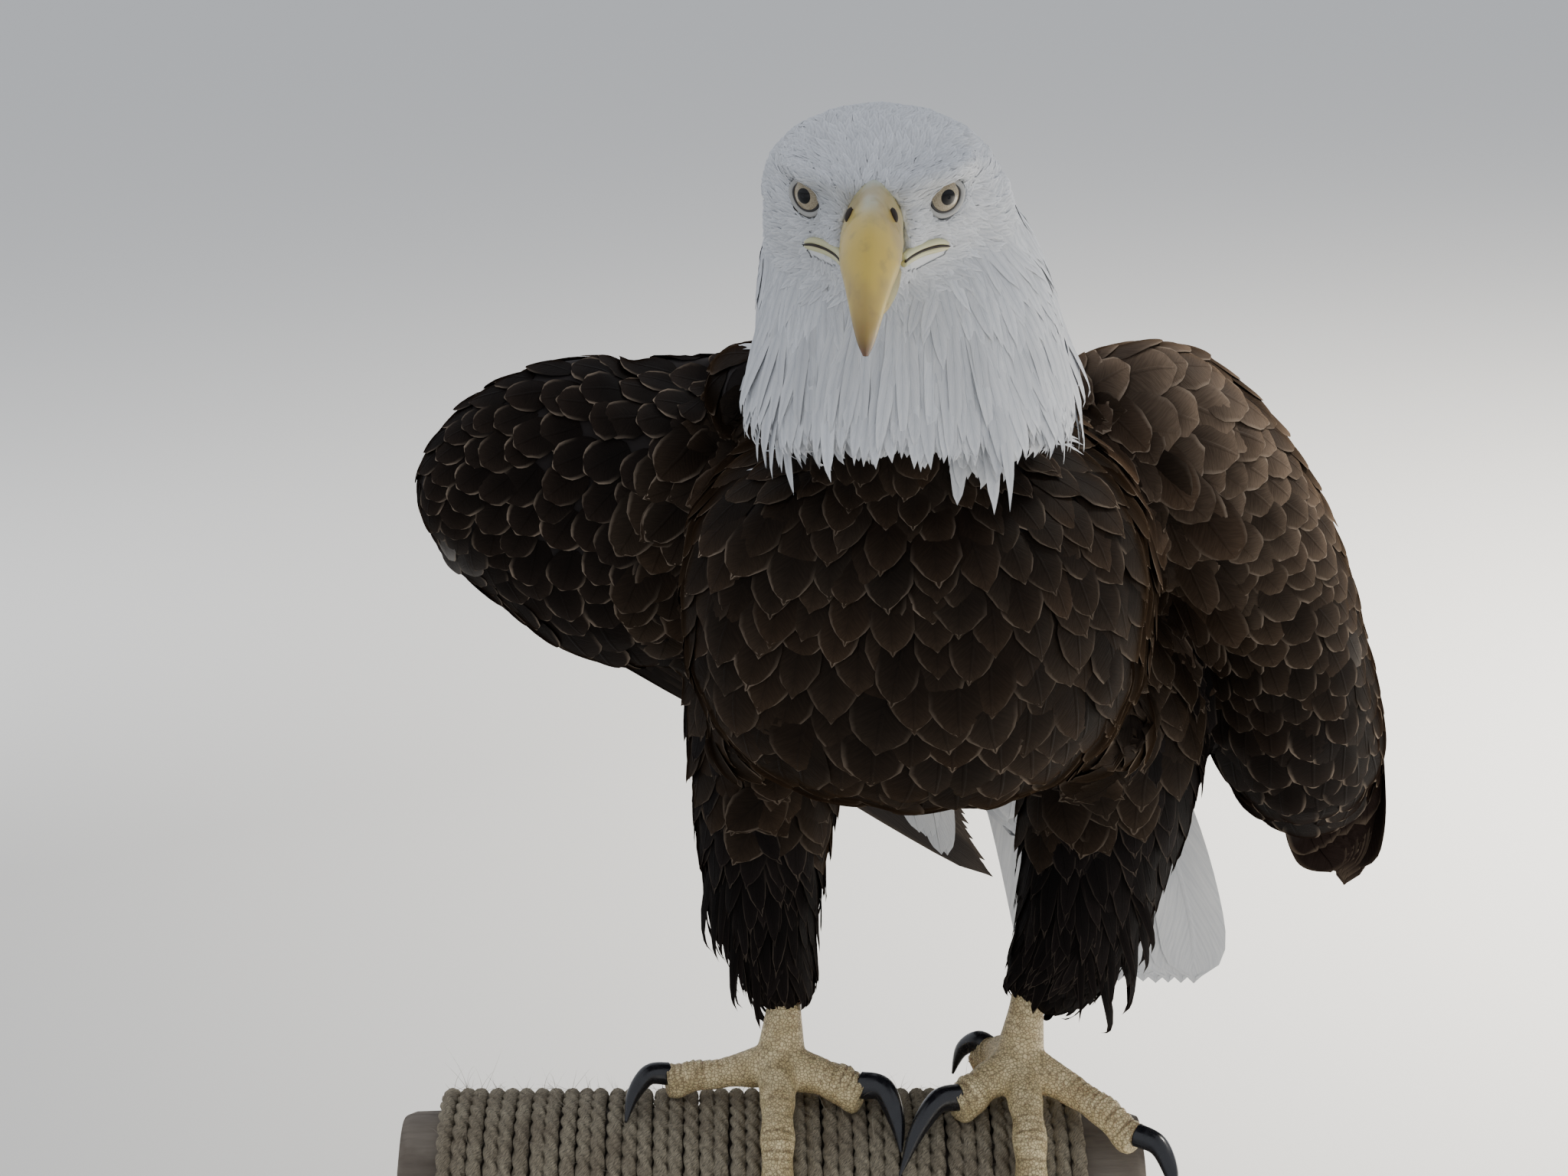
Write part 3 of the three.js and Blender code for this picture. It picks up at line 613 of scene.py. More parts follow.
def blades(spine, ups, half, rise, camber, bow=0.08, columns=5, thick=0.00025, roll=0.0, drape=None):
    """Closed vanes round the shafts. A vane is first flat, then draped on the skin by the share given, then
    raised: by rise, plus camber times one less the square of the place across, plus roll times the way out.
    The tip is bowed back at its sides, and the underside is the top moved down by the thickness."""
    count, rows = spine.shape[:2]
    ahead = unit(np.gradient(spine, axis=1))
    across = unit(np.cross(ahead, ups))
    ups = np.cross(across, ahead)
    place_across = np.linspace(-1, 1, columns)
    span = np.linalg.norm(np.diff(spine, axis=1), axis=2).sum(1)
    reach = np.linspace(0, 1, rows)[None, :, None]
    side = half[..., None] * place_across
    back = -bow * span[:, None, None] * place_across ** 2 * reach ** 2
    bed = spine[:, :, None] + side[..., None] * across[:, :, None] + back[..., None] * ahead[:, :, None]
    over = np.broadcast_to(ups[:, :, None], bed.shape)
    if drape is not None:
        near, normal = on_skin(bed.reshape(-1, 3))
        held = drape[:, None, None, None]
        over = unit(over * (1 - held) + normal.reshape(bed.shape) * held)
        bed = bed + (near.reshape(bed.shape) - bed) * held
    roll = np.broadcast_to(roll, count)[:, None, None]
    lift = rise[..., None] + camber * half[..., None] * (1 - place_across ** 2) + roll * side
    top = bed + lift[..., None] * over
    under = top[:, 1:-1, 1:-1] - thick * over[:, 1:-1, 1:-1]
    points = np.concatenate([top.reshape(count, -1, 3), under.reshape(count, -1, 3)], 1)
    upper = np.arange(rows * columns).reshape(rows, columns)
    lower = upper.copy()
    lower[1:-1, 1:-1] = rows * columns + np.arange((rows - 2) * (columns - 2)).reshape(rows - 2, columns - 2)
    face = np.concatenate([
        np.stack([sheet[:-1, :-1], sheet[:-1, 1:], sheet[1:, 1:], sheet[1:, :-1]],
                 -1).reshape(-1, 4)[:, ::turn_way]
        for sheet, turn_way in ((upper, 1), (lower, -1))])
    face = triangles(face)
    faces = (face[None] + (np.arange(count) * points.shape[1])[:, None, None]).reshape(-1, 3)
    grid = np.meshgrid(np.linspace(0, 1, rows), (place_across + 1) / 2, indexing="ij")
    grid = np.stack(grid, -1)[..., ::-1]
    vane = np.concatenate([grid.reshape(-1, 2), grid[1:-1, 1:-1].reshape(-1, 2)])
    return points.reshape(-1, 3), faces, np.tile(vane, (count, 1)), points.shape[1]


def bake_places(roots, axis, vane, corners):
    """OFBake map: each vane is a small patch at its root's place on the skin unrolled about an axis."""
    axis = unit(np.asarray(axis, float))
    side = unit(np.cross(axis, [0.31, 0.17, 0.93]))
    other = np.cross(axis, side)
    spot = roots - roots.mean(0)
    around = np.arctan2(spot @ side, spot @ other) / (2 * np.pi) + 0.5
    along_axis = spot @ axis
    along_axis = (along_axis - along_axis.min()) / max(np.ptp(along_axis), 1e-6)
    corner = np.stack([0.004 + 0.988 * around, 0.004 + 0.988 * along_axis], -1)
    return np.repeat(corner, corners, 0) + vane * 0.003


def tract(name, names, spacing, heading, length, width, outline, colour, material, axis, cling=0.85,
          lift=0.085, keep=None, columns=5, unruly=0.12, camber=0.14, rows=VANE_ROWS, evening=0, free=None,
          stretch=1.0, draped=True, variety=0.3):
    """One tract of plumage. spacing, heading, length, width and colour are functions of the roots."""
    roots, normals = scatter(names, spacing, heading, stretch, evening)
    if keep is not None:
        stay = keep(roots)
        roots, normals = roots[stay], normals[stay]
    wish = heading(roots)
    way = tangent(wish, normals)
    way = tangent(way + np.cross(normals, way) * chance.normal(0, unruly, (len(roots), 1)), normals)
    if free is not None:
        loose = free(roots)[:, None]
        way = unit(way * (1 - loose) + unit(wish) * loose)
    long = length(roots) * chance.uniform(0.88, 1.12, len(roots))
    hold = np.broadcast_to(cling(roots) if callable(cling) else cling, len(roots))
    spine, ups = lay_shafts(roots, normals, way, long, rows, hold)
    own, broad = (np.interp(rows, VANE_ROWS, OUTLINES[shape]) for shape in (outline, "round"))
    half = width(roots)[:, None] / 2 * (own + (broad - own) * chance.uniform(0, variety, (len(roots), 1)))
    half = half * chance.uniform(0.88, 1.12, (len(roots), 1)) * chance.normal(1, 0.03, half.shape)
    high = chance.uniform(0.55, 1.5, (len(roots), 1))
    rise = 0.0004 + lift * high * long[:, None] * rows
    points, faces, vane, corners = blades(spine, ups, half, rise, camber, columns=columns,
                                          drape=hold if draped else None,
                                          roll=chance.normal(0, 0.05, len(roots)))
    shades = np.repeat(colour(roots), corners, 0)
    maps = {"Vane": vane, "OFBake": bake_places(roots, axis, vane, corners)}
    piece = add_piece(name, points, faces, material, maps, shades, sharp=60)
    return piece


def tint(base, rim, spread, warm=0.0):
    """Colour of each feather: a base with a random lightness, and the strength of its pale rim."""
    def colour(roots):
        light = np.exp(chance.normal(0, spread, (len(roots), 1)))
        shade = np.array(base[:3]) * light * (1 + warm * chance.normal(0, 1, (len(roots), 1)) * [1, 0, -1])
        edge_power = np.clip(rim * np.exp(chance.normal(0, 0.35, (len(roots), 1))), 0, 1)
        return np.concatenate([shade, edge_power], 1)
    return colour


def even(value):
    """The same size in millimetres for every root."""
    return lambda roots: np.full(len(roots), value / 1000)


def away_from(spot, drift=(0, 0, 0)):
    """A heading straight away from a place, given in millimetres, with a steady drift added."""
    source = place(spot)
    return lambda roots: unit(roots - source) + np.asarray(drift, float)


def along_guides(rows):
    """A heading blended from guide rows: a place in millimetres and the way feathers point there."""
    rows = np.array(rows, float)
    spots, ways = place(rows[:, :3]), unit(rows[:, 3:6])
    return lambda roots: (1 / (square_distance(roots, spots) + 0.012 ** 2) ** 2) @ ways


def graded(spots, values):
    """A size in millimetres blended between places by nearness."""
    spots = place(spots)
    values = np.asarray(values, float) / 1000

    def size(roots):
        weight = 1 / (square_distance(roots, spots) + 0.015 ** 2) ** 2
        return weight @ values / weight.sum(1)
    return size


def on_shoulder(roots):
    """Whether a root stands on the hump of the right shoulder, beside the neck."""
    return (roots[:, 0] < place([-47, 0, 0])[0]) & (gap_to("neck", roots) > 0.001) & (
        roots[:, 1] > place([0, -70, 0])[1]) & (roots[:, 2] < place([0, 0, 372])[2])


def trunk_heading(roots):
    """Away from the base of the neck, and turned downwards on the breast."""
    down = np.interp(roots[:, 1], place([[0, -95, 0], [0, -20, 0]])[:, 1], [1, 0])
    return away_from([-6, -92, 392], (0.03, 0.25, -0.35))(roots) + np.outer(down, [0, 0, -0.7])


# Breast, belly, back and rump: broad brown feathers, pointed on the breast, with paler rims.
BODY_SPOTS = [[0, -140, 335], [0, -130, 300], [0, -130, 230], [-90, -60, 260], [100, -60, 260],
              [5, -40, 168], [10, 60, 340], [20, 40, 160], [50, 130, 235], [60, 165, 180]]
tract("coat_trunk", ["trunk", "neck"], graded(BODY_SPOTS, [8.5, 11.5, 14, 13, 13, 14, 13, 14, 17, 17]),
      trunk_heading,
      graded(BODY_SPOTS, [24, 31, 38, 36, 36, 38, 36, 38, 46, 48]),
      graded(BODY_SPOTS, [14, 20, 26, 24, 24, 25, 24, 26, 31, 32]),
      "pointed", tint(BROWN, 0.32, 0.17, 0.03), brown_vane, (0.25, 0.9, -0.35),
      lift=0.085, camber=0.06, stretch=1.5, columns=7, rows=BROAD_ROWS, evening=6, unruly=0.11, variety=0.25,
      keep=lambda roots: np.where(
          roots[:, 1] < place([0, -75, 0])[1], roots[:, 2] < place([0, 0, 350])[2],
          on_shoulder(roots) | (gap_to("neck", roots) > 0.013)
          & (gap_to("trunk", roots) < gap_to("neck", roots))))

# Flanks: feathers of the belly's edge that hang over the tops of the thighs.
for side, sign in (("left", 1), ("right", -1)):
    thigh = f"thigh_{side}"
    tract(f"coat_flank_{side}", ["trunk", thigh], even(10.5),
          along_guides([[sign * 75, -60, 200, sign * 0.15, -0.1, -1],
                        [sign * 75, 40, 190, sign * 0.1, 0.2, -1]]),
          even(40), even(23), "pointed", tint(BROWN, 0.3, 0.16, 0.03), brown_vane,
          (0, 0.5, -1), lift=0.12, camber=0.08, stretch=1.4, columns=7, rows=BROAD_ROWS,
          evening=3, cling=0.7,
          keep=lambda roots: (gap_to("trunk", roots) < 0.02) & (gap_to(thigh, roots) < 0.022)
          & (roots[:, 2] > place([0, 0, 150])[2]))

# Scapulars: longer feathers that bridge the hollow between the body and each wing; the left ones are a
# lighter brown, painted sunlight on that shoulder.
for side, sign in (("left", 1), ("right", -1)):
    arm = f"wing_{side}_arm"
    bridge = along_guides([[sign * 80, -40, 330, sign * 0.5, -0.2, -0.8],
                           [sign * 85, 30, 372, sign * 0.5, 0.8, -0.2],
                           [sign * 88, -60, 270, sign * 0.3, -0.1, -1],
                           [sign * 100, 90, 300, sign * 0.3, 0.8, -0.5]])
    tract(f"coat_scapulars_{side}", ["trunk", arm], even(11), bridge, even(36), even(22), "round",
          tint(BROWN if side == "right" else linear("#4d3f33"), 0.5, 0.16, 0.03), brown_vane,
          (0, 0.5, -1), lift=0.1, camber=0.06, stretch=1.4, columns=7, rows=BROAD_ROWS,
          evening=3, keep=lambda roots: (gap_to("trunk", roots) < 0.02) & (gap_to(arm, roots) < 0.02)
          & (roots[:, 2] > place([0, 0, 235])[2]))


def thigh_heading(roots, foot_x, shank_top, sign):
    """Down the thigh, and drawn in to the shank at its end."""
    inward = np.interp(roots[:, 2] - shank_top[2], [0.01, 0.06], [60, 0])[:, None]
    down = away_from([foot_x + sign * 12, -10, 330], (0, 0.12, -0.4))(roots)
    return down + (shank_top - roots) * [1, 1, 0] * inward


def thigh_length(roots, shank_top, sign):
    """As long as the height above the shank leaves room for, and shorter at the outer side."""
    outer_side = ((roots[:, 0] - shank_top[0]) * sign - 0.009).clip(0)
    return np.minimum(0.042, (roots[:, 2] - shank_top[2] + 0.014 - 0.4 * outer_side).clip(0.009))


# Thighs: close dark feathers that hang in long ragged points at the outer and hind side.
for side, sign in (("left", 1), ("right", -1)):
    foot_x = 60 if side == "left" else -57
    shank_top = place([foot_x, 8, 60])
    tract(f"coat_thigh_{side}", [f"thigh_{side}"], graded([[foot_x, 20, 200], [foot_x, 15, 80]], [10, 6]),
          lambda roots: thigh_heading(roots, foot_x, shank_top, sign),
          lambda roots: thigh_length(roots, shank_top, sign),
          graded([[foot_x, 20, 200], [foot_x, 15, 80]], [16, 6.5]), "lance",
          tint(BLACKISH, 0.14, 0.2), brown_vane, (0, 0, -1), cling=0.8, stretch=1.5,
          evening=2, camber=0.08, variety=0.1)
    tract(f"coat_thigh_{side}_locks", [f"thigh_{side}"], even(9 if side == "left" else 6.5),
          away_from([foot_x, -40, 420], (sign * 0.06, 0.1, -0.5)),
          lambda roots: np.clip(roots[:, 2] - shank_top[2] + chance.uniform(-0.006, 0.034, len(roots)),
                                0.012, 0.07),
          even(5), "lance", tint(BLACKISH, 0.1, 0.2), brown_vane, (0, 0, -1), cling=0.12,
          lift=0.03, draped=False, keep=lambda roots: (roots[:, 2] < shank_top[2] + 0.085)
          & ((roots[:, 1] > shank_top[1] + 0.012) | ((roots[:, 0] - shank_top[0]) * sign > 0.012)))

# Under the tail root: loose white coverts.
tract("coat_undertail", ["undertail"], even(9), away_from([20, 20, 300], (0.2, 0.5, -0.6)), even(52),
      even(17), "lance", tint(WHITE, 0.0, 0.06), white_vane, (0.3, 0.6, -0.7), cling=0.6)

# Wing arms: rows of small rounded coverts that run out to the wrist and turn down along the hand.
RIGHT_LIE = [[-90, -20, 345, -1, 0.1, 0], [-140, -20, 340, -1, 0.15, -0.15],
             [-190, -10, 325, -0.8, 0.1, -0.6], [-215, -8, 292, -0.15, 0.25, -1],
             [-206, 0, 262, 0.35, 0.4, -0.8], [-178, 10, 245, 0.6, 0.45, -0.6],
             [-145, -10, 285, -0.45, 0.1, -0.85], [-110, -5, 230, 0.55, 0.35, -0.7],
             [-110, -15, 300, -0.7, 0, -0.7], [-140, -10, 240, 0.35, 0.3, -0.85],
             [-110, 95, 345, 0.2, 0.85, -0.35], [-190, 55, 325, 0.1, 0.9, -0.45],
             [-150, 95, 275, 0.45, 0.7, -0.5]]
LEFT_LIE = [[95, -20, 370, 0.7, 0.35, -0.1], [122, -28, 335, 0.85, 0.15, -0.5],
            [140, -38, 292, 0.72, 0.1, -0.68], [140, -35, 240, 0.5, 0.15, -0.8],
            [180, -22, 272, 0.6, 0.3, -0.75], [206, 0, 240, 0.25, 0.4, -0.9], [178, -32, 200, 0.1, 0.15, -1],
            [148, -25, 170, -0.1, 0.25, -0.95], [232, 50, 180, 0.25, 0.55, -0.8],
            [200, 10, 140, 0.1, 0.35, -0.9], [150, 90, 300, 0.15, 0.85, -0.45],
            [212, 110, 180, 0.2, 0.75, -0.6]]
RIGHT_SPOTS = [[-100, -20, 340], [-190, -10, 320], [-214, -5, 285], [-150, -15, 285], [-120, 0, 225],
               [-110, 95, 330], [-160, 95, 275]]
LEFT_SPOTS = [[95, -10, 368], [150, -35, 280], [206, -5, 245], [170, -35, 215], [150, -20, 165],
              [235, 60, 175], [205, 20, 120], [150, 95, 300], [210, 120, 180]]
WRIST = {"right": place([-214, -10, 274]), "left": place([212, -12, 236])}
ARM = {
    "right": (RIGHT_LIE, graded(RIGHT_SPOTS, [13, 11, 9.5, 12.5, 17, 19, 19]),
              graded(RIGHT_SPOTS, [22, 19, 16, 23, 34, 38, 40]),
              graded(RIGHT_SPOTS, [20, 17, 14.5, 19.5, 28, 30, 30])),
    "left": (LEFT_LIE, graded(LEFT_SPOTS, [14, 11.5, 10, 12, 13, 11, 14, 18, 18]),
             graded(LEFT_SPOTS, [32, 21, 18, 23, 29, 25, 32, 38, 38]),
             graded(LEFT_SPOTS, [28, 18.5, 16, 19, 23, 19, 24, 30, 30])),
}


def arm_colour(side):
    """Brown, darkened towards blackish as painted shade over all the right arm and low on the left arm,
    lightened towards a pale brown as painted sunlight on top of the left shoulder, and grey-white where the
    wrist is worn.
    """
    plain = tint(BROWN, 0.62, 0.16, 0.03)
    worn = linear("#b9b4ac")
    painted_sunlit_brown = np.array(linear("#857260"))

    def colour(roots):
        shades = plain(roots)
        near_wrist = np.exp(-(np.linalg.norm(roots - WRIST[side], axis=1) / 0.009) ** 2)[:, None]
        # Painted shade: the right arm is darkened all over, the left one below the given height.
        below = (place([0, 0, 235])[2] - roots[:, 2:3]) / 0.07
        low = 0.6 if side == "right" else 0.75 * np.clip(below, 0, 1)
        shades[:, :3] = shades[:, :3] * (1 - low) + 1.15 * np.array(BLACKISH[:3]) * low
        # Painted sunlight: the left arm lightens upwards towards a pale sunlit brown.
        if side == "left":
            high = np.clip((roots[:, 2:3] - place([0, 0, 225])[2]) / 0.1, 0, 1)
            high = 0.6 * high * np.exp(chance.normal(0, 0.3, (len(roots), 1))).clip(0.4, 1.25)
            shades[:, :3] = shades[:, :3] * (1 - high) + painted_sunlit_brown[:3] * high
        shades[:, :3] = shades[:, :3] * (1 - near_wrist) + np.array(worn[:3]) * near_wrist
        return shades
    return colour


for side in ("right", "left"):
    lie, spacing, length, width = ARM[side]
    tract(f"coat_wing_{side}", [f"wing_{side}_arm"], spacing, along_guides(lie), length, width, "round",
          arm_colour(side), brown_vane,
          (1, 0.2, -0.4) if side == "right" else (0.2, 0.2, -1), cling=0.85, unruly=0.07, lift=0.07,
          camber=0.05, evening=7, stretch=1.6, columns=7, rows=BROAD_ROWS)


# Flight feathers: long stiff vanes side by side on the hand (primaries) and the forearm
# (secondaries), with rows of coverts over their roots on both faces, and the twelve tail feathers.

LONG_ROWS = np.linspace(0, 1, 20)


def quill_outline(tip, root=0.25):
    """Half width along a flight feather: swells from the root, then rounds off over the last tip part."""
    swell = root + (1 - root) * np.clip(LONG_ROWS / 0.3, 0, 1) ** 0.7
    round_off = np.sqrt(np.clip(1 - (np.clip(LONG_ROWS - (1 - tip), 0, tip) / tip) ** 2, 0.004, 1))
    return swell * round_off


def fan(name, lead, trail, count, start, reach, width, tip, outer, colour, material, lift=0.0,
        stack=0.0007, roll=0.12, camber=0.10, uneven=0.012, bulge=0.0, replace=None):
    """Feathers side by side on the ruled surface between a leading and a trailing edge. outer is roughly
    the way the upper face looks; lift moves the row off the surface; stack raises each feather on its
    neighbour."""
    fine = 80
    front, rear = smooth_path(place(lead), fine), smooth_path(place(trail), fine)
    inset = min(0.4, width / 2200 / np.linalg.norm(front - rear, axis=1).mean())
    share = np.linspace(inset, 1 - inset, count)
    begin = np.broadcast_to(start(share) if callable(start) else start, count)
    stop = np.broadcast_to(reach(share) if callable(reach) else reach, count)
    stop = np.clip(stop + chance.normal(0, uneven, count), 0, 1)
    along_fan = begin[:, None] + (stop - begin)[:, None] * LONG_ROWS
    sample = along_fan * (fine - 1)
    cell = np.clip(sample.astype(int), 0, fine - 2)
    part = (sample - cell)[..., None]
    head_on = front[cell] * (1 - part) + front[cell + 1] * part
    tail_on = rear[cell] * (1 - part) + rear[cell + 1] * part
    spine = head_on + (tail_on - head_on) * share[:, None, None]
    ahead = unit(np.gradient(spine, axis=1))
    ups = unit(np.cross(ahead, tail_on - head_on))
    facing = np.sign((ups.mean((0, 1)) * np.asarray(outer, float)).sum())
    ups = ups * facing
    half = np.full((count, 1), width / 2000) * quill_outline(tip)
    rise = lift / 1000 + stack * np.arange(count) + bulge / 1000 * (1 - (2 * share - 1) ** 2)
    rise = rise[:, None] + np.zeros(len(LONG_ROWS))
    points, faces, vane, corners = blades(spine, ups, half, rise, camber, bow=0.02, columns=7, thick=0.0005,
                                          roll=-facing * roll)
    shades = np.repeat(colour(spine[:, 0]), corners, 0)
    shaft_lift = rise + camber * half
    shaft_points, shaft_faces, shaft_vane = shafts(spine, ups, shaft_lift, 0.0007)
    grown = shaft_points.shape[1]
    shaft_shades = np.repeat(colour(spine[:, 0]) * [0.6, 0.6, 0.6, 0], grown, 0)
    places = bake_places(spine[:, 0], (0.3, 0.4, -0.8), vane, corners)
    shaft_places = np.repeat(places[::corners], grown, 0) + 0.0015
    faces = np.concatenate([faces, shaft_faces + len(points)])
    points = np.concatenate([points, shaft_points.reshape(-1, 3)])
    maps = {"Vane": np.concatenate([vane, shaft_vane]), "OFBake": np.concatenate([places, shaft_places])}
    piece = add_piece(name, points, faces, material, maps, np.concatenate([shades, shaft_shades]), sharp=60)
    if replace:
        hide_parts(replace)
    return piece


SHAFT_SIDES = 5


def shafts(spine, ups, rise, thick):
    """Five-sided tapering rods along the vanes, closed at both ends."""
    count, rows = spine.shape[:2]
    ahead = unit(np.gradient(spine, axis=1))
    across = unit(np.cross(ahead, ups))
    angle = np.linspace(0, 2 * np.pi, SHAFT_SIDES, endpoint=False) + 0.3
    radius = thick * (1.05 - np.linspace(0, 1, rows))[None, :, None]
    ring = ((np.cos(angle) * radius)[..., None] * across[:, :, None]
            + (np.sin(angle) * radius)[..., None] * ups[:, :, None])
    points = (spine + rise[..., None] * ups)[:, :, None] + ring
    face = triangles(tube_quads(rows, SHAFT_SIDES)[:, FACED_BACK])
    ends = np.array([[0, 2, 1], [0, 3, 2], [0, 4, 3]])
    face = np.concatenate([face, ends, (rows - 1) * SHAFT_SIDES + ends[:, ::-1]])
    faces = (face[None] + (np.arange(count) * rows * SHAFT_SIDES)[:, None, None]).reshape(-1, 3)
    vane = np.stack([np.full(rows * SHAFT_SIDES, 0.2),
                     np.repeat(np.linspace(0, 0.3, rows), SHAFT_SIDES)], -1)
    return points.reshape(count, -1, 3), faces, np.tile(vane, (count, 1))


# Fuzz: the rope's broken fibres, each a thin rod along its hair line.
fuzz_points, fuzz_faces, _ = shafts(hair, np.repeat(sag[:, None], HAIR_ROWS, 1),
                                    np.zeros((FUZZ, HAIR_ROWS)), 0.00013)
fuzz_fibre = new_material("rope_fibre", {"Base Color": linear("#9c9281"), "Roughness": 0.8})
fuzz = add_piece("perch_rope_fuzz", fuzz_points.reshape(-1, 3), fuzz_faces, fuzz_fibre)

# Wing fans: a leading and a trailing line for the hand's feathers and for the forearm's, in
# millimetres, and the way the upper face of each wing looks.
PRIMARY = {
    "right": ([[-206, 8, 256], [-172, 44, 224], [-124, 88, 184], [-56, 168, 116], [18, 256, 40],
               [74, 322, -19]],
              [[-192, 40, 292], [-150, 90, 270], [-96, 130, 226], [-26, 194, 160], [44, 276, 78],
               [90, 322, 12]]),
    "left": ([[216, 20, 214], [237, 84, 166], [256, 156, 108], [276, 270, 36], [291, 394, -41]],
             [[190, 60, 156], [192, 104, 108], [214, 176, 66], [248, 276, 24], [266, 352, -8]]),
}
SECONDARY = {
    "right": ([[-186, 50, 286], [-152, 104, 266], [-90, 164, 222], [-26, 224, 158], [14, 268, 106]],
              [[-128, 112, 330], [-88, 170, 306], [-34, 238, 264], [10, 292, 206], [26, 318, 176]]),
    "left": ([[208, 56, 216], [230, 112, 172], [247, 190, 108], [259, 264, 56], [258, 318, 26]],
             [[142, 96, 320], [136, 160, 288], [134, 246, 226], [146, 318, 160], [152, 346, 130]]),
}
OUTER = {"right": (-1, 0.2, 0.3), "left": (1, 0.1, 0.4)}
for side in ("right", "left"):
    outer = np.array(OUTER[side])
    lead, trail = PRIMARY[side]
    dark = tint(BLACKISH, 0.12, 0.12)
    brown = tint(BROWN, 0.3, 0.12, 0.02)
    fan(f"primaries_{side}", lead, trail, 10, 0.0, lambda share: 0.98 - 0.22 * share, 28, 0.4, outer, dark,
        brown_vane, replace=f"wing_{side}_primaries")
    fan(f"primary_coverts_{side}", lead, trail, 8, 0.0, lambda share: 0.38 - 0.05 * share, 24, 0.3, outer,
        brown, brown_vane, lift=6)
    fan(f"primary_undercoverts_{side}", lead, trail, 7, 0.0, 0.34, 25, 0.35, -outer, brown, brown_vane,
        lift=5)
    fan(f"primary_long_coverts_{side}", lead, trail, 8, 0.0, lambda share: 0.62 - 0.1 * share, 24, 0.3,
        outer, dark, brown_vane, lift=3)
    inner = PRIMARY[side][0 if side == "left" else 1]
    fan(f"inner_primaries_{side}", inner, SECONDARY[side][0], 6, 0.02, lambda share: 0.9 + 0.06 * share, 32,
        0.2, outer, dark, brown_vane)
    lead, trail = SECONDARY[side]
    fan(f"secondaries_{side}", lead, trail, 11, 0.0, lambda share: 0.95 - 0.17 * share ** 2, 46, 0.2, outer,
        tint(BROWN, 0.12, 0.12, 0.02), brown_vane, lift=3, uneven=0.005,
        replace=f"wing_{side}_secondaries")
    for row_name, reach, lift, wide in (("greater", 0.56, 4, 33), ("median", 0.41, 6, 30),
                                        ("lesser", 0.29, 8, 27), ("marginal", 0.19, 9, 24)):
        fan(f"secondary_{row_name}_coverts_{side}", lead, trail, 9, 0.0, reach, wide, 0.35, outer, brown,
            brown_vane, lift=lift, roll=0.2)
    for row_name, reach, lift, wide in (("greater", 0.46, 5, 32), ("lesser", 0.3, 8, 28)):
        fan(f"secondary_under_{row_name}_{side}", lead, trail, 9, 0.0, reach, wide, 0.35, -outer, brown,
            brown_vane, lift=lift)

# Tail: twelve white feathers between its two edges, with coverts above and below, and the vent's.
TAIL_LEFT = [[96, 152, 186], [126, 170, 146], [164, 190, 78], [190, 226, 4], [196, 248, -50]]
TAIL_RIGHT = [[34, 148, 182], [42, 164, 136], [56, 190, 66], [70, 226, -6], [80, 248, -50]]
fan("tail_feathers", TAIL_LEFT, TAIL_RIGHT, 12, 0.0, lambda share: 0.92 + 0.06 * np.sin(share * np.pi), 37,
    0.15, (-0.2, 0.9, 0.3), tint(WHITE, 0.0, 0.03), white_vane, stack=0.0005,
    replace="tail", camber=0.07, uneven=0.005, bulge=9)
fan("tail_upper_coverts", TAIL_LEFT, TAIL_RIGHT, 7, 0.0, 0.44, 30, 0.4, (-0.2, 0.9, 0.3),
    tint(WHITE, 0.0, 0.05), white_vane, lift=8, bulge=9)
fan("tail_under_coverts", TAIL_LEFT, TAIL_RIGHT, 7, 0.0, 0.46, 30, 0.4, (0.2, -0.9, -0.3),
    tint(WHITE, 0.0, 0.05), white_vane, lift=4)

fan("vent_feathers", [[20, 118, 160], [28, 150, 105], [36, 180, 50]],
    [[-10, 112, 165], [-4, 138, 128], [8, 166, 90]], 6, 0.0, 0.95, 15, 0.4, (-0.2, -0.9, -0.3),
    tint(WHITE, 0.0, 0.05), white_vane, uneven=0.04)


# Neck and head: narrow white feathers, finest on the face, that hang in points over the breast.
BILL_BASE = head_place([26, 0, -2])
EYE_SPOTS = head_place([[2.5, 27, -0.8], [2.5, -27, -0.8]])


def head_size(face, crown, nape, hem):
    """Sizes in millimetres from the face over the crown and nape to the hem of the ruff."""
    spots = [[-21, -185, 447], [-21, -150, 480], [-15, -70, 440], [-3, -90, 400], [0, -85, 350]]
    return graded(spots, [face, crown, nape, (nape + hem) / 2, hem])


def swirl(roots, scale, strength):
    """A smooth wandering of the lie that gathers feathers in tufts: strength x sin(place / scale), turned
    round so that each axis follows the place on the next one."""
    return strength * np.sin(roots[:, [1, 2, 0]] / scale + [0.3, 1.1, 2.0])


def bare_face(roots):
    """Leaves out the eyes, the cere and the gape."""
    clear_eye = np.sqrt(square_distance(roots, EYE_SPOTS)).min(1) > 0.0077
    ahead_of = (roots - EYES_MIDDLE) @ HEAD_AHEAD
    beside_head = np.abs((roots - EYES_MIDDLE) @ HEAD_LEFT)
    above_head = (roots - EYES_MIDDLE) @ HEAD_UP
    on_cere = (ahead_of > 0.016) & (beside_head < 0.0085) & (above_head > -0.02) & (above_head < 0.0065)
    by_gape = np.abs(above_head + 0.0225) < 0.004
    on_gape = by_gape & (beside_head > 0.012) & (beside_head < 0.031) & (ahead_of > -0.004)
    return clear_eye & ~on_cere & ~on_gape


FINE_ROWS = np.array([0, 0.3, 0.65, 0.88, 1.0])
white_tint = tint(WHITE, 0.0, 0.05)
HEM = place([0, 0, 343])[2]
NECK_AXIS = place([-4, -90, 0])
neck_length = head_size(16, 20, 30, 36)


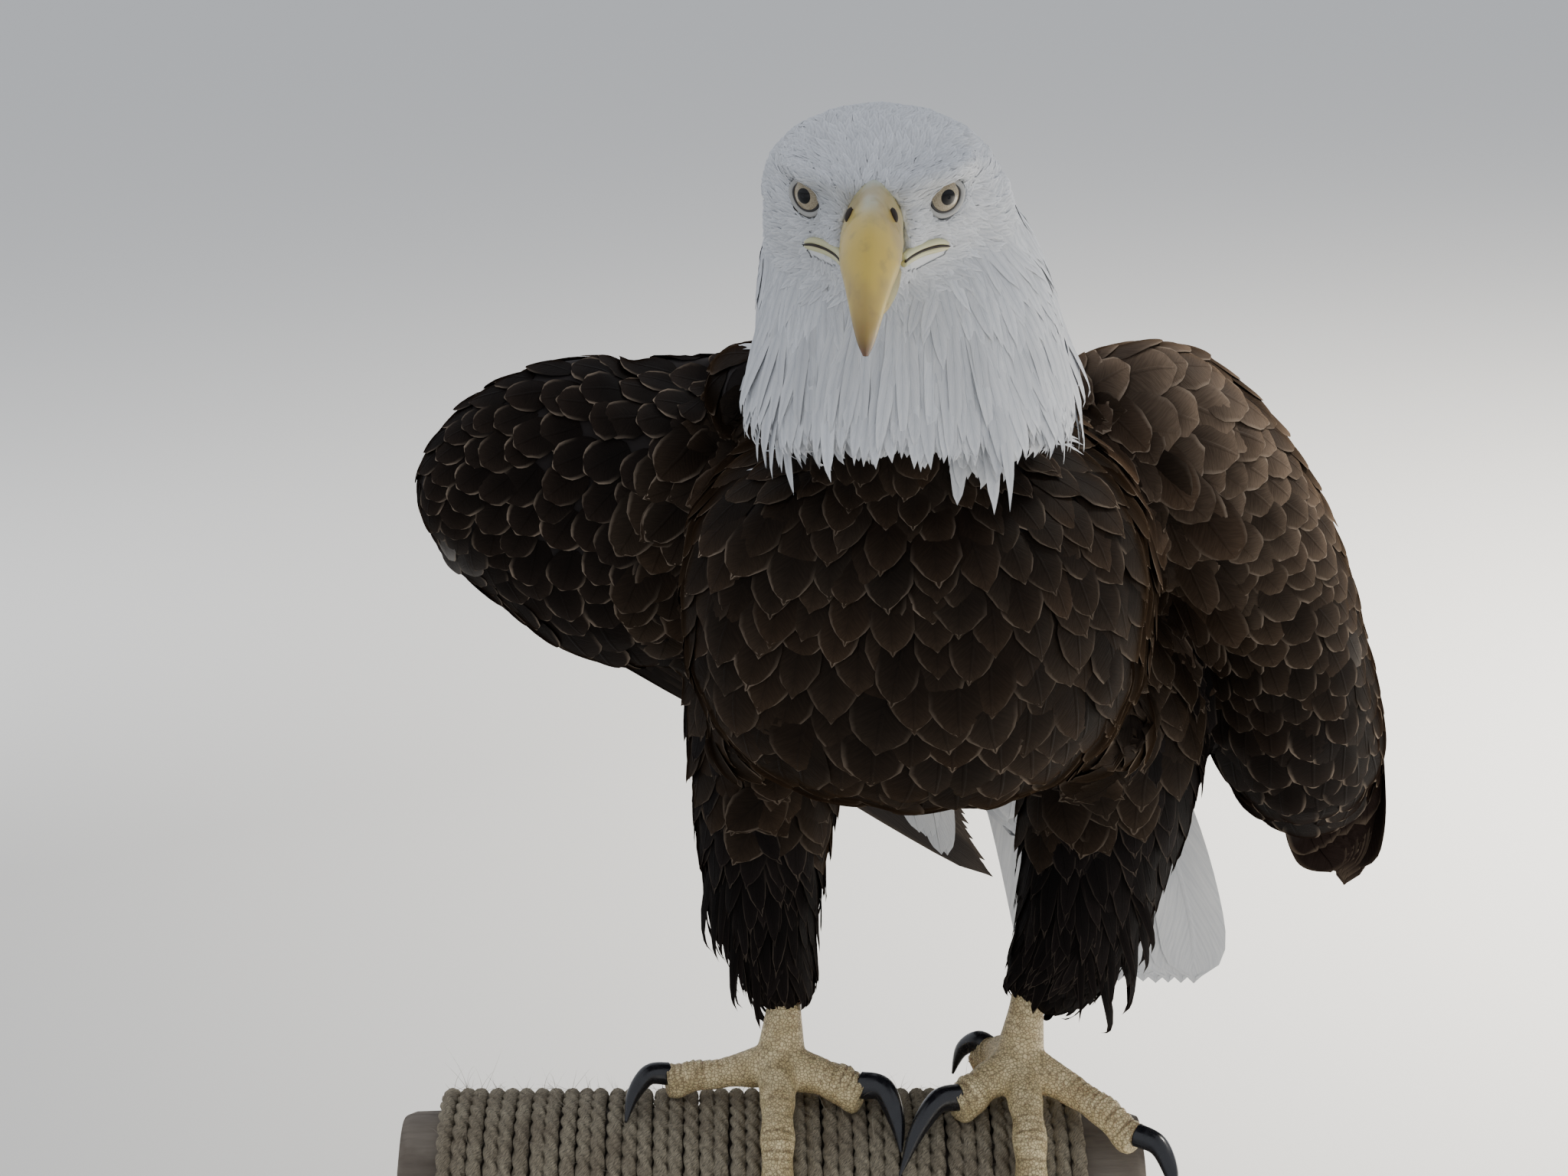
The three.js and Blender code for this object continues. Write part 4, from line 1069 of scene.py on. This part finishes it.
# Locks of the ruff's hem: angle round the neck in degrees, depth in millimetres, half width in degrees.
LOCKS = np.array([[-180, 0, 1], [-84, 6, 5], [-70, 10, 5], [-60, 22, 3.2], [-50, 13, 4.5], [-33, 9, 5],
                  [-15, 7, 6], [2, 8, 6], [16, 4, 5], [29.5, 27, 6.5], [47, 10, 4], [58, 7, 4], [75, 12, 6],
                  [95, 6, 6]], float)


def hem_height(roots):
    """How far a root stands above the hem of the ruff, whose feathers gather in hanging locks: each lock is
    a V at its own angle round the neck, in degrees, with a depth in millimetres and a half width."""
    turn_at = np.degrees(np.arctan2(roots[:, 0] - NECK_AXIS[0], NECK_AXIS[1] - roots[:, 1]))
    off = np.abs(turn_at[:, None] - LOCKS[:, 0]) / LOCKS[:, 2]
    drop = (LOCKS[:, 1] * np.clip(1 - off, 0, 1)).max(1) / 1000
    return roots[:, 2] - HEM - 0.003 + drop + 0.0015 * np.sin(0.9 * turn_at)


def in_front(roots):
    """One on the throat and the sides of the neck, falling to nought on the nape."""
    return np.interp(roots[:, 1] - NECK_AXIS[1], [-0.01, 0.02], [1, 0])


def neck_heading(roots):
    """Away from the crown, turned downwards near the hem, gathered in tufts, and forwards in each lock."""
    down = np.interp(roots[:, 2] - HEM, [0.005, 0.06], [1, 0])
    forward = np.interp(hem_height(roots) + HEM - roots[:, 2], [0.006, 0.022], [0, 1])
    return (away_from([-14, -132, 490], (0, 0.02, -0.25))(roots) + np.outer(down, [0, 0, -0.6])
            + swirl(roots, 0.006, 0.13) + np.outer(forward, [0, -0.28, 0]))


def neck_reach(roots):
    """Lengths: down to the hem for the feathers near it in front, and by place elsewhere."""
    height = hem_height(roots)
    hanging = (height < 0.062) & (in_front(roots) > 0.5)
    return np.where(hanging, height.clip(0.01) * chance.uniform(0.9, 1.06, len(roots)), neck_length(roots))


def neck_width(roots):
    """Widths by place, narrower towards the hem in front."""
    by_hem = np.where(in_front(roots) > 0.5, 0.0034 + 0.19 * hem_height(roots).clip(0.01), 1.0)
    return np.minimum(head_size(3.4, 4.6, 6.8, 9.4)(roots), by_hem)


def hangs(roots, share):
    """The share given at the hem in front, falling to nought higher up."""
    return in_front(roots) * np.interp(hem_height(roots), [0.05, 0.075], [share, 0.0])


tract("coat_neck", ["neck"], head_size(2.4, 2.4, 3.0, 3.1), neck_heading, neck_reach, neck_width,
      "lance", white_tint, white_vane, (0, 0.2, -1),
      cling=lambda roots: 0.75 - hangs(roots, 0.69), free=lambda roots: hangs(roots, 0.7),
      keep=lambda roots: ~on_shoulder(roots) & ((hem_height(roots) > 0.012) | (in_front(roots) < 0.5)),
      lift=0.05, unruly=0.17, columns=3, variety=0.08)
LORES = head_place([[15, 17, 2], [15, -17, 2], [9, 21, -3], [9, -21, -3]])


def face_colour(roots):
    """White, greyer on the thinly feathered lores between eye and bill."""
    shades = white_tint(roots)
    near_lore = 0.3 * np.exp(-square_distance(roots, LORES).min(1) / 0.008 ** 2)[:, None]
    shades[:, :3] = shades[:, :3] * (1 - near_lore) + np.array(linear("#8f918c")[:3]) * near_lore
    return shades


tract("coat_head", ["head"], head_size(1.28, 1.5, 2.1, 2.6),
      lambda roots: unit(roots - BILL_BASE) + swirl(roots, 0.0042, 0.26), head_size(7, 11, 18, 20),
      head_size(1.9, 2.7, 4.4, 5), "lance", face_colour, white_vane, (0.08, 0.97, 0.2),
      cling=0.85, lift=0.06, columns=3, unruly=0.26, keep=bare_face, rows=FINE_ROWS)


# ---------------------------------------------------------------------------------------------
# Bill: horny sheath over bone, waxy yellow, with the softer cere at its root, oval nostrils and the yellow
# folds of the gape running back below the eyes; the nostrils and the mouth's slit are dark solids, painted
# shade for the openings.

UPPER_BILL = [[5, 0, -7, 10.4, 18.6, 17], [12, 0, -6, 10.6, 17.8, 17], [21, 0, -5, 10.8, 17.2, 16.5],
              [31, 0, -5.5, 11.2, 17.4, 16], [41, 0, -7, 12.0, 17.4, 14.6], [52, 0, -9, 11.2, 15.2, 13],
              [62, 0, -13.3, 8.9, 12.6, 10], [70.5, 0, -18.2, 6.9, 9.8, 7.4], [77, 0, -24, 4.9, 6.6, 4.8],
              [80.6, 0, -29.4, 3, 3.6, 2.8], [82, 0, -33.5, 1.0, 1.2, 1.0]]
horn = new_material("waxy_yellow_bill", {"Roughness": 0.36, "IOR": 1.5, "Coat Weight": 0.15,
                                         "Subsurface Weight": 0.08})
bill_map = add_node(horn, "SeparateXYZ", {"Vector": add_node(horn, "UVMap", {}, uv_map="Bill")}, 1)
bill_grain = add_node(horn, "TexNoise",
                      {"Vector": add_node(horn, "TexCoord", {}, 3), "Scale": 160.0, "Detail": 5.0})
bill_cloud = add_node(horn, "TexNoise",
                      {"Vector": add_node(horn, "TexCoord", {}, 3), "Scale": 45.0, "Detail": 2.0})
bill_round = add_node(horn, "SeparateXYZ", {"Vector": add_node(horn, "UVMap", {}, uv_map="Bill")}, 0)
# Painted highlight: a pale grey streak along the ridge of the cere stands in for the sky's reflection on its
# top.
crest = step_up(horn, calc(horn, "ABSOLUTE", calc(horn, "SUBTRACT", bill_round, 0.25)), 0.02, 0.12, 1.0, 0.0)
cere_highlight = calc(horn, "MULTIPLY", crest, step_up(horn, bill_map, 0.3, 0.52, 0.8, 0.0))
yellow = mix(horn, step_up(horn, bill_map, 0.24, 0.46), linear("#b9b07c"), linear("#c6ac4c"))
cere_with_painted_highlight = mix(horn, cere_highlight, yellow, linear("#b4bcb4"))
clouded = mix(horn, step_up(horn, bill_cloud, 0.42, 0.7, 0.0, 0.7), cere_with_painted_highlight, linear("#a08a52"))
scuffed = mix(horn, step_up(horn, bill_grain, 0.5, 0.72, 0.0, 0.4), clouded, linear("#8c7a50"))
feed(horn, "Base Color", mix(horn, step_up(horn, bill_map, 0.7, 0.98), scuffed, linear("#5c4a34")))
feed(horn, "Normal", add_node(horn, "Bump", {"Height": bill_grain, "Strength": 0.25, "Distance": 0.0004}))
BILL_ROWS = 60
CERE_END = 0.36
upper = smooth_path(UPPER_BILL, BILL_ROWS)
points, faces, maps = sweep(head_place(upper[:, :3]), *upper[:, 3:6].T / 1000, HEAD_UP, around=40,
                            pinch=0.36)
cere_edge = np.exp(-((maps[:, 1] - CERE_END) / 0.012) ** 2)
cere_swell = np.where(maps[:, 1] < CERE_END, 0.0006, 0.0)
bill_run = np.linspace(0, 1, BILL_ROWS)
bill_line = np.stack([np.interp(maps[:, 1], bill_run, upper[:, k]) for k in range(3)], -1)
swell = (cere_swell - 0.0005 * cere_edge)[:, None]
points = points + unit(points - head_place(bill_line)) * swell
bill_upper = add_piece("bill_upper_horn", points, faces, horn, {"Bill": maps})
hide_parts("bill_upper")
lower = smooth_path([[8, 0, -26.5, 10.5, 6, 8], [22, 0, -27.5, 10.2, 6, 7.5], [36, 0, -27.5, 9, 5.5, 6],
                     [50, 0, -26.5, 7, 4.5, 4.5], [60, 0, -25, 4.4, 3.4, 3], [64, 0, -24, 2.2, 2, 1.6]], 30)
points, faces, maps = sweep(head_place(lower[:, :3]), *lower[:, 3:6].T / 1000, HEAD_UP, around=28)
bill_lower = add_piece("bill_lower_horn", points, faces, horn, {"Bill": maps * [1, 0.6]})
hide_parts("bill_lower")
gape_skin = new_material("gape_skin", {"Base Color": linear("#cfc89c"), "Roughness": 0.45, "IOR": 1.45,
                                       "Subsurface Weight": 0.1})
# The mouth's slit and the nostrils are drawn as dark solids: painted shade for these openings.
painted_shade_dark = new_material("painted_shade_in_openings", {"Base Color": linear("#2a2018"), "Roughness": 0.7})
for side, sign in (("left", 1), ("right", -1)):
    for lip, above, thick, finish in (("upper", 1.3, 1.5, gape_skin), ("lower", -1.5, 1.6, gape_skin),
                                      ("slit", -0.1, 0.6, painted_shade_dark)):
        lip_line = smooth_path([[27, sign * 11.8, -16.8 + above], [19, sign * 14.0, -17.6 + above],
                                [11, sign * 18.6, -18.0 + above], [4.5, sign * 24.2, -18.8 + above],
                                [-1, sign * 28.4, -21.0 + above * 0.4]], 26)
        taper = thick / 1000 * np.sqrt(np.clip(1 - np.linspace(-0.8, 1, 26) ** 4, 0.03, 1))
        if lip == "slit":
            lip_line = lip_line + [0.9, sign * 0.7, 0]
        points, faces, _ = sweep(head_place(lip_line), taper, taper, taper, HEAD_UP, around=14)
        lip_piece = add_piece(f"gape_{side}_{lip}", points, faces, finish)
    # Nostril: a flush dark oval, painted shade for the opening in the cere.
    hole = np.linspace(-1, 1, 12)
    line = head_place(np.stack([36 - 1.2 * hole, sign * (8.6 - 0.9 * hole), 4.9 + 2.6 * hole], -1))
    girth = np.sqrt(np.clip(1 - hole ** 2, 0.02, 1))
    points, faces, _ = sweep(line, 0.0017 * girth, 0.0013 * girth, 0.0013 * girth, HEAD_LEFT, around=16)
    nostril = add_piece(f"nostril_{side}", points, faces, painted_shade_dark)


# Eyes: wet pale-straw irises set deep under the brow, each in a dark-rimmed lid.
EYE_RADIUS = 0.0095
EYE_TURN = math.radians(33)
BALL_ROWS, BALL_AROUND = 40, 48
LID_AROUND, LID_SIDES = 60, 12
iris_material = new_material("iris_and_pupil", {"Roughness": 0.07, "IOR": 1.376})
eye_map = add_node(iris_material, "SeparateXYZ",
                   {"Vector": add_node(iris_material, "UVMap", {}, uv_map="Eye")}, 1)
iris_grid = add_node(iris_material, "Mapping", {"Vector": add_node(iris_material, "UVMap", {}, uv_map="Eye"),
                                                "Scale": (26.0, 5.0, 1.0)})
spokes = add_node(iris_material, "TexNoise", {"Vector": iris_grid, "Scale": 3.0, "Detail": 4.0})
straw = mix(iris_material, step_up(iris_material, spokes, 0.35, 0.7), linear("#b0a48c"), linear("#8a7d66"))
ringed = mix(iris_material, step_up(iris_material, eye_map, 0.66, 0.74), straw, linear("#3a3428"))
ringed = mix(iris_material, step_up(iris_material, eye_map, 0.86, 0.92), ringed, linear("#c4c5c5"))
feed(iris_material, "Base Color",
     mix(iris_material, step_up(iris_material, eye_map, 0.3, 0.32, 1.0, 0.0), ringed,
         linear("#050506")))
lid_dark = new_material("lid_rim", {"Base Color": linear("#2b2827"), "Roughness": 0.45})
lid_pale = new_material("lid_skin", {"Base Color": linear("#a9a8a4"), "Roughness": 0.6})
for side, sign in (("left", 1), ("right", -1)):
    look = unit(HEAD_AHEAD * math.cos(EYE_TURN) + HEAD_LEFT * sign * math.sin(EYE_TURN) + HEAD_UP * 0.06)
    sideways = unit(np.cross(HEAD_UP, look))
    upright = np.cross(look, sideways)
    centre = head_place([-4.2, sign * 23.0, 0.0])
    bend = np.linspace(0, np.pi, BALL_ROWS)[:, None]
    spin = np.linspace(0, 2 * np.pi, BALL_AROUND, endpoint=False)[None]
    cornea = 1 + 0.055 * np.exp(-(bend / 0.5) ** 2)
    ball = centre + EYE_RADIUS * cornea[..., None] * (
        np.cos(bend)[..., None] * look + (np.sin(bend) * np.cos(spin))[..., None] * sideways
        + (np.sin(bend) * np.sin(spin))[..., None] * upright)
    eye_maps = np.stack([np.tile(spin.ravel() / (2 * np.pi), BALL_ROWS),
                         np.repeat(bend.ravel(), BALL_AROUND) / 1.05], -1)
    eye_piece = add_piece(f"eye_{side}_ball", ball.reshape(-1, 3),
                          triangles(tube_quads(BALL_ROWS, BALL_AROUND)), iris_material, {"Eye": eye_maps})
    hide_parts(f"eye_{side}")
    for lid, wide, thick, depth, finish in (("rim", 6.5, 0.6, 7.05, lid_dark),
                                            ("fold", 8.0, 1.5, 5.9, lid_pale)):
        turn_round = np.linspace(0, 2 * np.pi, LID_AROUND, endpoint=False)
        high = np.where(np.sin(turn_round) > 0, 0.72, 0.97)
        corner = 1 + 0.02 * np.abs(np.cos(turn_round)) ** 6
        to_side = (np.cos(turn_round) * corner)[:, None] * sideways
        to_top = (np.sin(turn_round) * high)[:, None] * upright
        ring_centre = centre + look * depth / 1000 + wide / 1000 * (to_side + to_top)
        section = np.linspace(0, 2 * np.pi, LID_SIDES, endpoint=False)
        outward = unit(ring_centre - centre - look * depth / 1000)
        ring = ring_centre[:, None] + thick / 1000 * (np.cos(section)[None, :, None] * outward[:, None]
                                                      + np.sin(section)[None, :, None] * look)
        ring_faces = tube_quads(LID_AROUND + 1, LID_SIDES) % (LID_AROUND * LID_SIDES)
        lid_piece = add_piece(f"lid_{side}_{lid}", ring.reshape(-1, 3), triangles(ring_faces), finish)


# ---------------------------------------------------------------------------------------------
# Feet: bare scaled skin over bone, dull yellow, with overlapping scutes on top of each toe and
# soft pads below. The toes grip the log, and the black claws hook over its rope.

TOES = {
    "right": {
        1: [[-58, 6, 14, 9], [-55, 22, 10, 8.5], [-53, 38, 0, 8.5], [-52, 48, -14, 7.5]],
        2: [[-54, -2, 15, 9], [-42, -6, 15, 8.5], [-30, -10, 12, 9], [-20, -13, 8, 8.5]],
        3: [[-59.5, -4, 14, 9], [-60, -22, 9, 8], [-60, -40, -3, 7.8], [-60, -52, -20, 7.2]],
        4: [[-65, 1, 15, 8.5], [-82, 2, 13, 7], [-99, 2, 11, 7], [-113, 1, 9.5, 7.2]]},
    "left": {
        1: [[54, 8, 15, 9], [50, 22, 14, 8.5], [45, 31, 9, 8], [40, 36, 2, 7.5]],
        2: [[51, -4, 15, 9], [41, -10, 14, 8.5], [32, -16, 9.5, 9], [24, -21, 5.5, 8]],
        3: [[55, -4, 14, 9], [57, -22, 9, 8], [58, -40, -3, 7.8], [58.5, -52, -20, 7.2]],
        4: [[61, -3, 15, 8.5], [77, -13, 12, 7.3], [94, -26, 5, 7], [108, -38, -4, 7]]},
}
CLAWS = {
    "right": {
        1: [[-52, 51, -12, 5.2], [-51, 61, -22, 4.6], [-50, 64, -36, 3.2], [-50, 60, -48, 0.6]],
        2: [[-20, -13, 12, 5.4], [-10, -18, 12, 4.8], [-4, -28, 1, 3.4], [-2, -37, -11, 0.6]],
        3: [[-60, -58, -18, 4.8], [-60, -67, -29, 4.2], [-60, -70, -42, 3], [-60, -66, -54, 0.6]],
        4: [[-113, 1, 12, 4.6], [-122, -3, 13, 4.1], [-129, -11, 6, 3], [-132, -21, -3, 0.6]]},
    "left": {
        1: [[46, 33, 9, 5.0], [39, 38, 13, 4.3], [31, 44, 6, 3.1], [27, 48, -8, 0.6]],
        2: [[25, -20, 9, 5.4], [15, -26, 9, 4.8], [5, -36, -2, 3.4], [-3, -47, -18, 0.6]],
        3: [[58.5, -58, -18, 4.8], [58.5, -67, -29, 4.2], [58.5, -70, -42, 3], [58.5, -66, -54, 0.6]],
        4: [[108, -40, -1, 4.6], [117, -47, -3, 4.1], [122, -56, -12, 3], [123, -63, -23, 0.6]]},
}
SCUTE = 0.0036
FOOT_CELL = 0.00095
LINE_POINTS = 60
foot_skin = new_material("scaled_foot_skin", {"Roughness": 0.5, "IOR": 1.45, "Subsurface Weight": 0.06})
foot_spot = add_node(foot_skin, "TexCoord", {}, 3)
scales = add_node(foot_skin, "TexVoronoi", {"Vector": foot_spot, "Scale": 620.0}, feature="DISTANCE_TO_EDGE")
grime = add_node(foot_skin, "TexNoise", {"Vector": foot_spot, "Scale": 130.0, "Detail": 5.0})
foot_tone = mix(foot_skin, step_up(foot_skin, grime, 0.35, 0.7), linear("#ebd7a6"), linear("#c6b283"))
seams = mix(foot_skin, step_up(foot_skin, scales, 0.0, 0.16, 0.75, 0.0), foot_tone, linear("#634e31"))
creases = add_node(foot_skin, "Attribute", {}, 2, attribute_name="Plumage")
feed(foot_skin, "Base Color",
     mix(foot_skin, calc(foot_skin, "MULTIPLY", creases, 0.6), seams, linear("#624e33")))
feed(foot_skin, "Normal",
     add_node(foot_skin, "Bump", {"Height": step_up(foot_skin, scales, 0.0, 0.25), "Strength": 0.5,
                                  "Distance": 0.0005}))
claw_horn = new_material("black_claw_horn",
                         {"Roughness": 0.24, "IOR": 1.55, "Base Color": linear("#16161a")})
claw_lines = add_node(claw_horn, "TexNoise",
                      {"Vector": add_node(claw_horn, "TexCoord", {}, 3), "Scale": 240.0})
feed(claw_horn, "Roughness", step_up(claw_horn, claw_lines, 0.3, 0.7, 0.18, 0.36))
for side, foot_x in (("left", 55), ("right", -59)):
    knee_x = 60.5 if side == "left" else -56.5
    shank = [[knee_x, 9, 57, 8.0], [0.8 * knee_x + 0.2 * foot_x, 6, 46, 8.2],
             [0.4 * knee_x + 0.6 * foot_x, 3, 30, 10.6], [foot_x, 1, 14, 13.5]]
    limbs = {**TOES[side], 0: shank}
    for digit, rows in TOES[side].items():
        web = np.array([[foot_x, 3, 22, 9.5], rows[0], rows[1]], float)
        limbs[digit + 10] = web + [[0, 0, 0, 0], [0, 0, 2.5, 1.6], [0, 0, 0.5, 0.1]]
    parts, lines = [], []
    for digit, rows in limbs.items():
        path = smooth_path(rows, 22)
        thick = path[:, 3] / 1000
        knuckles = 1 + (0.07 * np.cos(np.linspace(0, 3, 22) * 2 * np.pi) if 0 < digit < 5 else 0)
        up = (0.02, -1, 0.02) if digit == 0 else ((0.3, 0.2, 1) if digit != 3 else (0, -0.6, 0.8))
        points, faces, _ = sweep(place(path[:, :3]), thick * knuckles, thick * knuckles, thick * 1.05, up,
                                 around=18)
        parts.append((points, faces))
        if digit < 10:
            lines.append(place(smooth_path(rows, LINE_POINTS)[:, :3]))
    foot_points, foot_faces, foot_normals = recast(f"foot_cast_{side}", parts, FOOT_CELL, 6)
    scute_height = np.zeros(len(foot_points))
    closest = np.full(len(foot_points), 9.0)
    crease = np.zeros(len(foot_points))
    for line, digit in zip(lines, limbs):
        table = np.concatenate([square_distance(foot_points[k:k + 8000], line)
                                for k in range(0, len(foot_points), 8000)])
        nearest = table.argmin(1)
        gap = np.sqrt(table.min(1))
        run_along = nearest * np.linalg.norm(np.diff(line, axis=0), axis=1).mean()
        from_line = unit(foot_points - line[nearest])
        face_up = from_line @ (np.array([0, -1, 0.2]) if digit == 0 else unit(np.array([0, -0.35, 1.0])))
        saw = 1 - np.mod(run_along / (SCUTE * (1.3 if digit == 0 else 1)), 1)
        on_top = np.clip(face_up * 2.5 - 0.2, 0, 1)
        plate = 0.00105 * (saw ** 0.7 - 0.6) * on_top
        share_along = nearest / (LINE_POINTS - 1)
        swellings = 0.0008 * np.sin(run_along / 0.016 * np.pi) ** 2
        tip_pad = 0.0026 * np.exp(-((share_along - 0.9) / 0.14) ** 2)
        pad = np.clip(-face_up, 0, 1) * (swellings + tip_pad) if digit else 0
        plate = plate * (np.clip(share_along * 2.2 - 0.5, 0.15, 1) if digit else 0.35)
        owns = gap < closest
        crease_line = on_top * np.exp(-((saw - 0.05) / 0.13) ** 2)
        crease_line = crease_line * (np.clip(share_along * 2.2 - 0.5, 0.2, 1) if digit else 0.4)
        crease = np.where(owns, crease_line, crease)
        scute_height = np.where(owns, plate + pad, scute_height)
        closest = np.minimum(closest, gap)
    foot_piece = add_piece(f"foot_{side}", foot_points + foot_normals * scute_height[:, None], foot_faces,
                           foot_skin, colours=np.repeat(crease[:, None], 4, 1))
    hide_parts(f"shank_{side}", *[f"toe_{digit}_{side}" for digit in (1, 2, 3, 4)])
    for digit, rows in CLAWS[side].items():
        path = smooth_path(rows, 30)
        thick = np.maximum(path[:, 3] * 1.28, 0.3) / 1000
        points, faces, _ = sweep(place(path[:, :3]), thick * 0.85, thick, thick * 0.9, (0.3, 0.2, 1),
                                 around=20)
        claw = add_piece(f"claw_{digit}_{side}_horn", points, faces, claw_horn)
        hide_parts(f"claw_{digit}_{side}")


# ---------------------------------------------------------------------------------------------
# Floor, light and camera

floor_paint = new_material("pale_floor", {"Base Color": linear("#d4d3d0"), "Roughness": 0.9})
floor_mesh = bpy.data.meshes.new("floor")
floor_mesh.from_pydata([(-60, -60, 0), (60, -60, 0), (60, 60, 0), (-60, 60, 0)], [], [(0, 1, 2, 3)])
floor_mesh.materials.append(floor_paint)
floor = bpy.data.objects.new("floor", floor_mesh)
bpy.context.scene.collection.objects.link(floor)
floor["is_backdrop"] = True
world = bpy.data.worlds.new("studio")
bpy.context.scene.world = world
world.use_nodes = True
world.node_tree.nodes["Background"].inputs["Color"].default_value = (0.88, 0.92, 1.0, 1.0)
world.node_tree.nodes["Background"].inputs["Strength"].default_value = 0.85


def add_lamp(name, spot, aim, power, size, colour):
    """A square soft box at a place, turned to its aim."""
    lamp = bpy.data.lights.new(name, "AREA")
    lamp.energy = power
    lamp.size = size
    lamp.color = colour
    holder = bpy.data.objects.new(name, lamp)
    bpy.context.scene.collection.objects.link(holder)
    holder.location = spot
    direction = np.asarray(aim, float) - np.asarray(spot, float)
    yaw = math.atan2(direction[1], direction[0])
    drop = math.atan2(-direction[2], math.hypot(direction[0], direction[1]))
    holder.rotation_euler = (0.0, math.pi / 2 + drop - math.pi, yaw + math.pi)
    return holder


BREAST = place([0, -40, 300])
add_lamp("key", BREAST + [1.3, 0.75, 1.6], BREAST, 380, 0.35, (1.0, 0.95, 0.86))
add_lamp("front", BREAST + [-1.0, -1.9, 1.1], BREAST, 34, 1.4, (0.9, 0.95, 1.0))
add_lamp("rear", BREAST + [-1.2, 1.4, 0.8], BREAST, 22, 1.0, (0.95, 0.97, 1.0))

LENS = 65.9
camera_data = bpy.data.cameras.new("camera")
camera_data.lens = LENS
camera_data.sensor_width = 36.0
camera = bpy.data.objects.new("camera", camera_data)
bpy.context.scene.collection.objects.link(camera)
camera.location = place([-57, -1280, 572])
camera.rotation_euler = (math.radians(76), 0.0, 0.0)
bpy.context.scene.camera = camera

low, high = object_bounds()
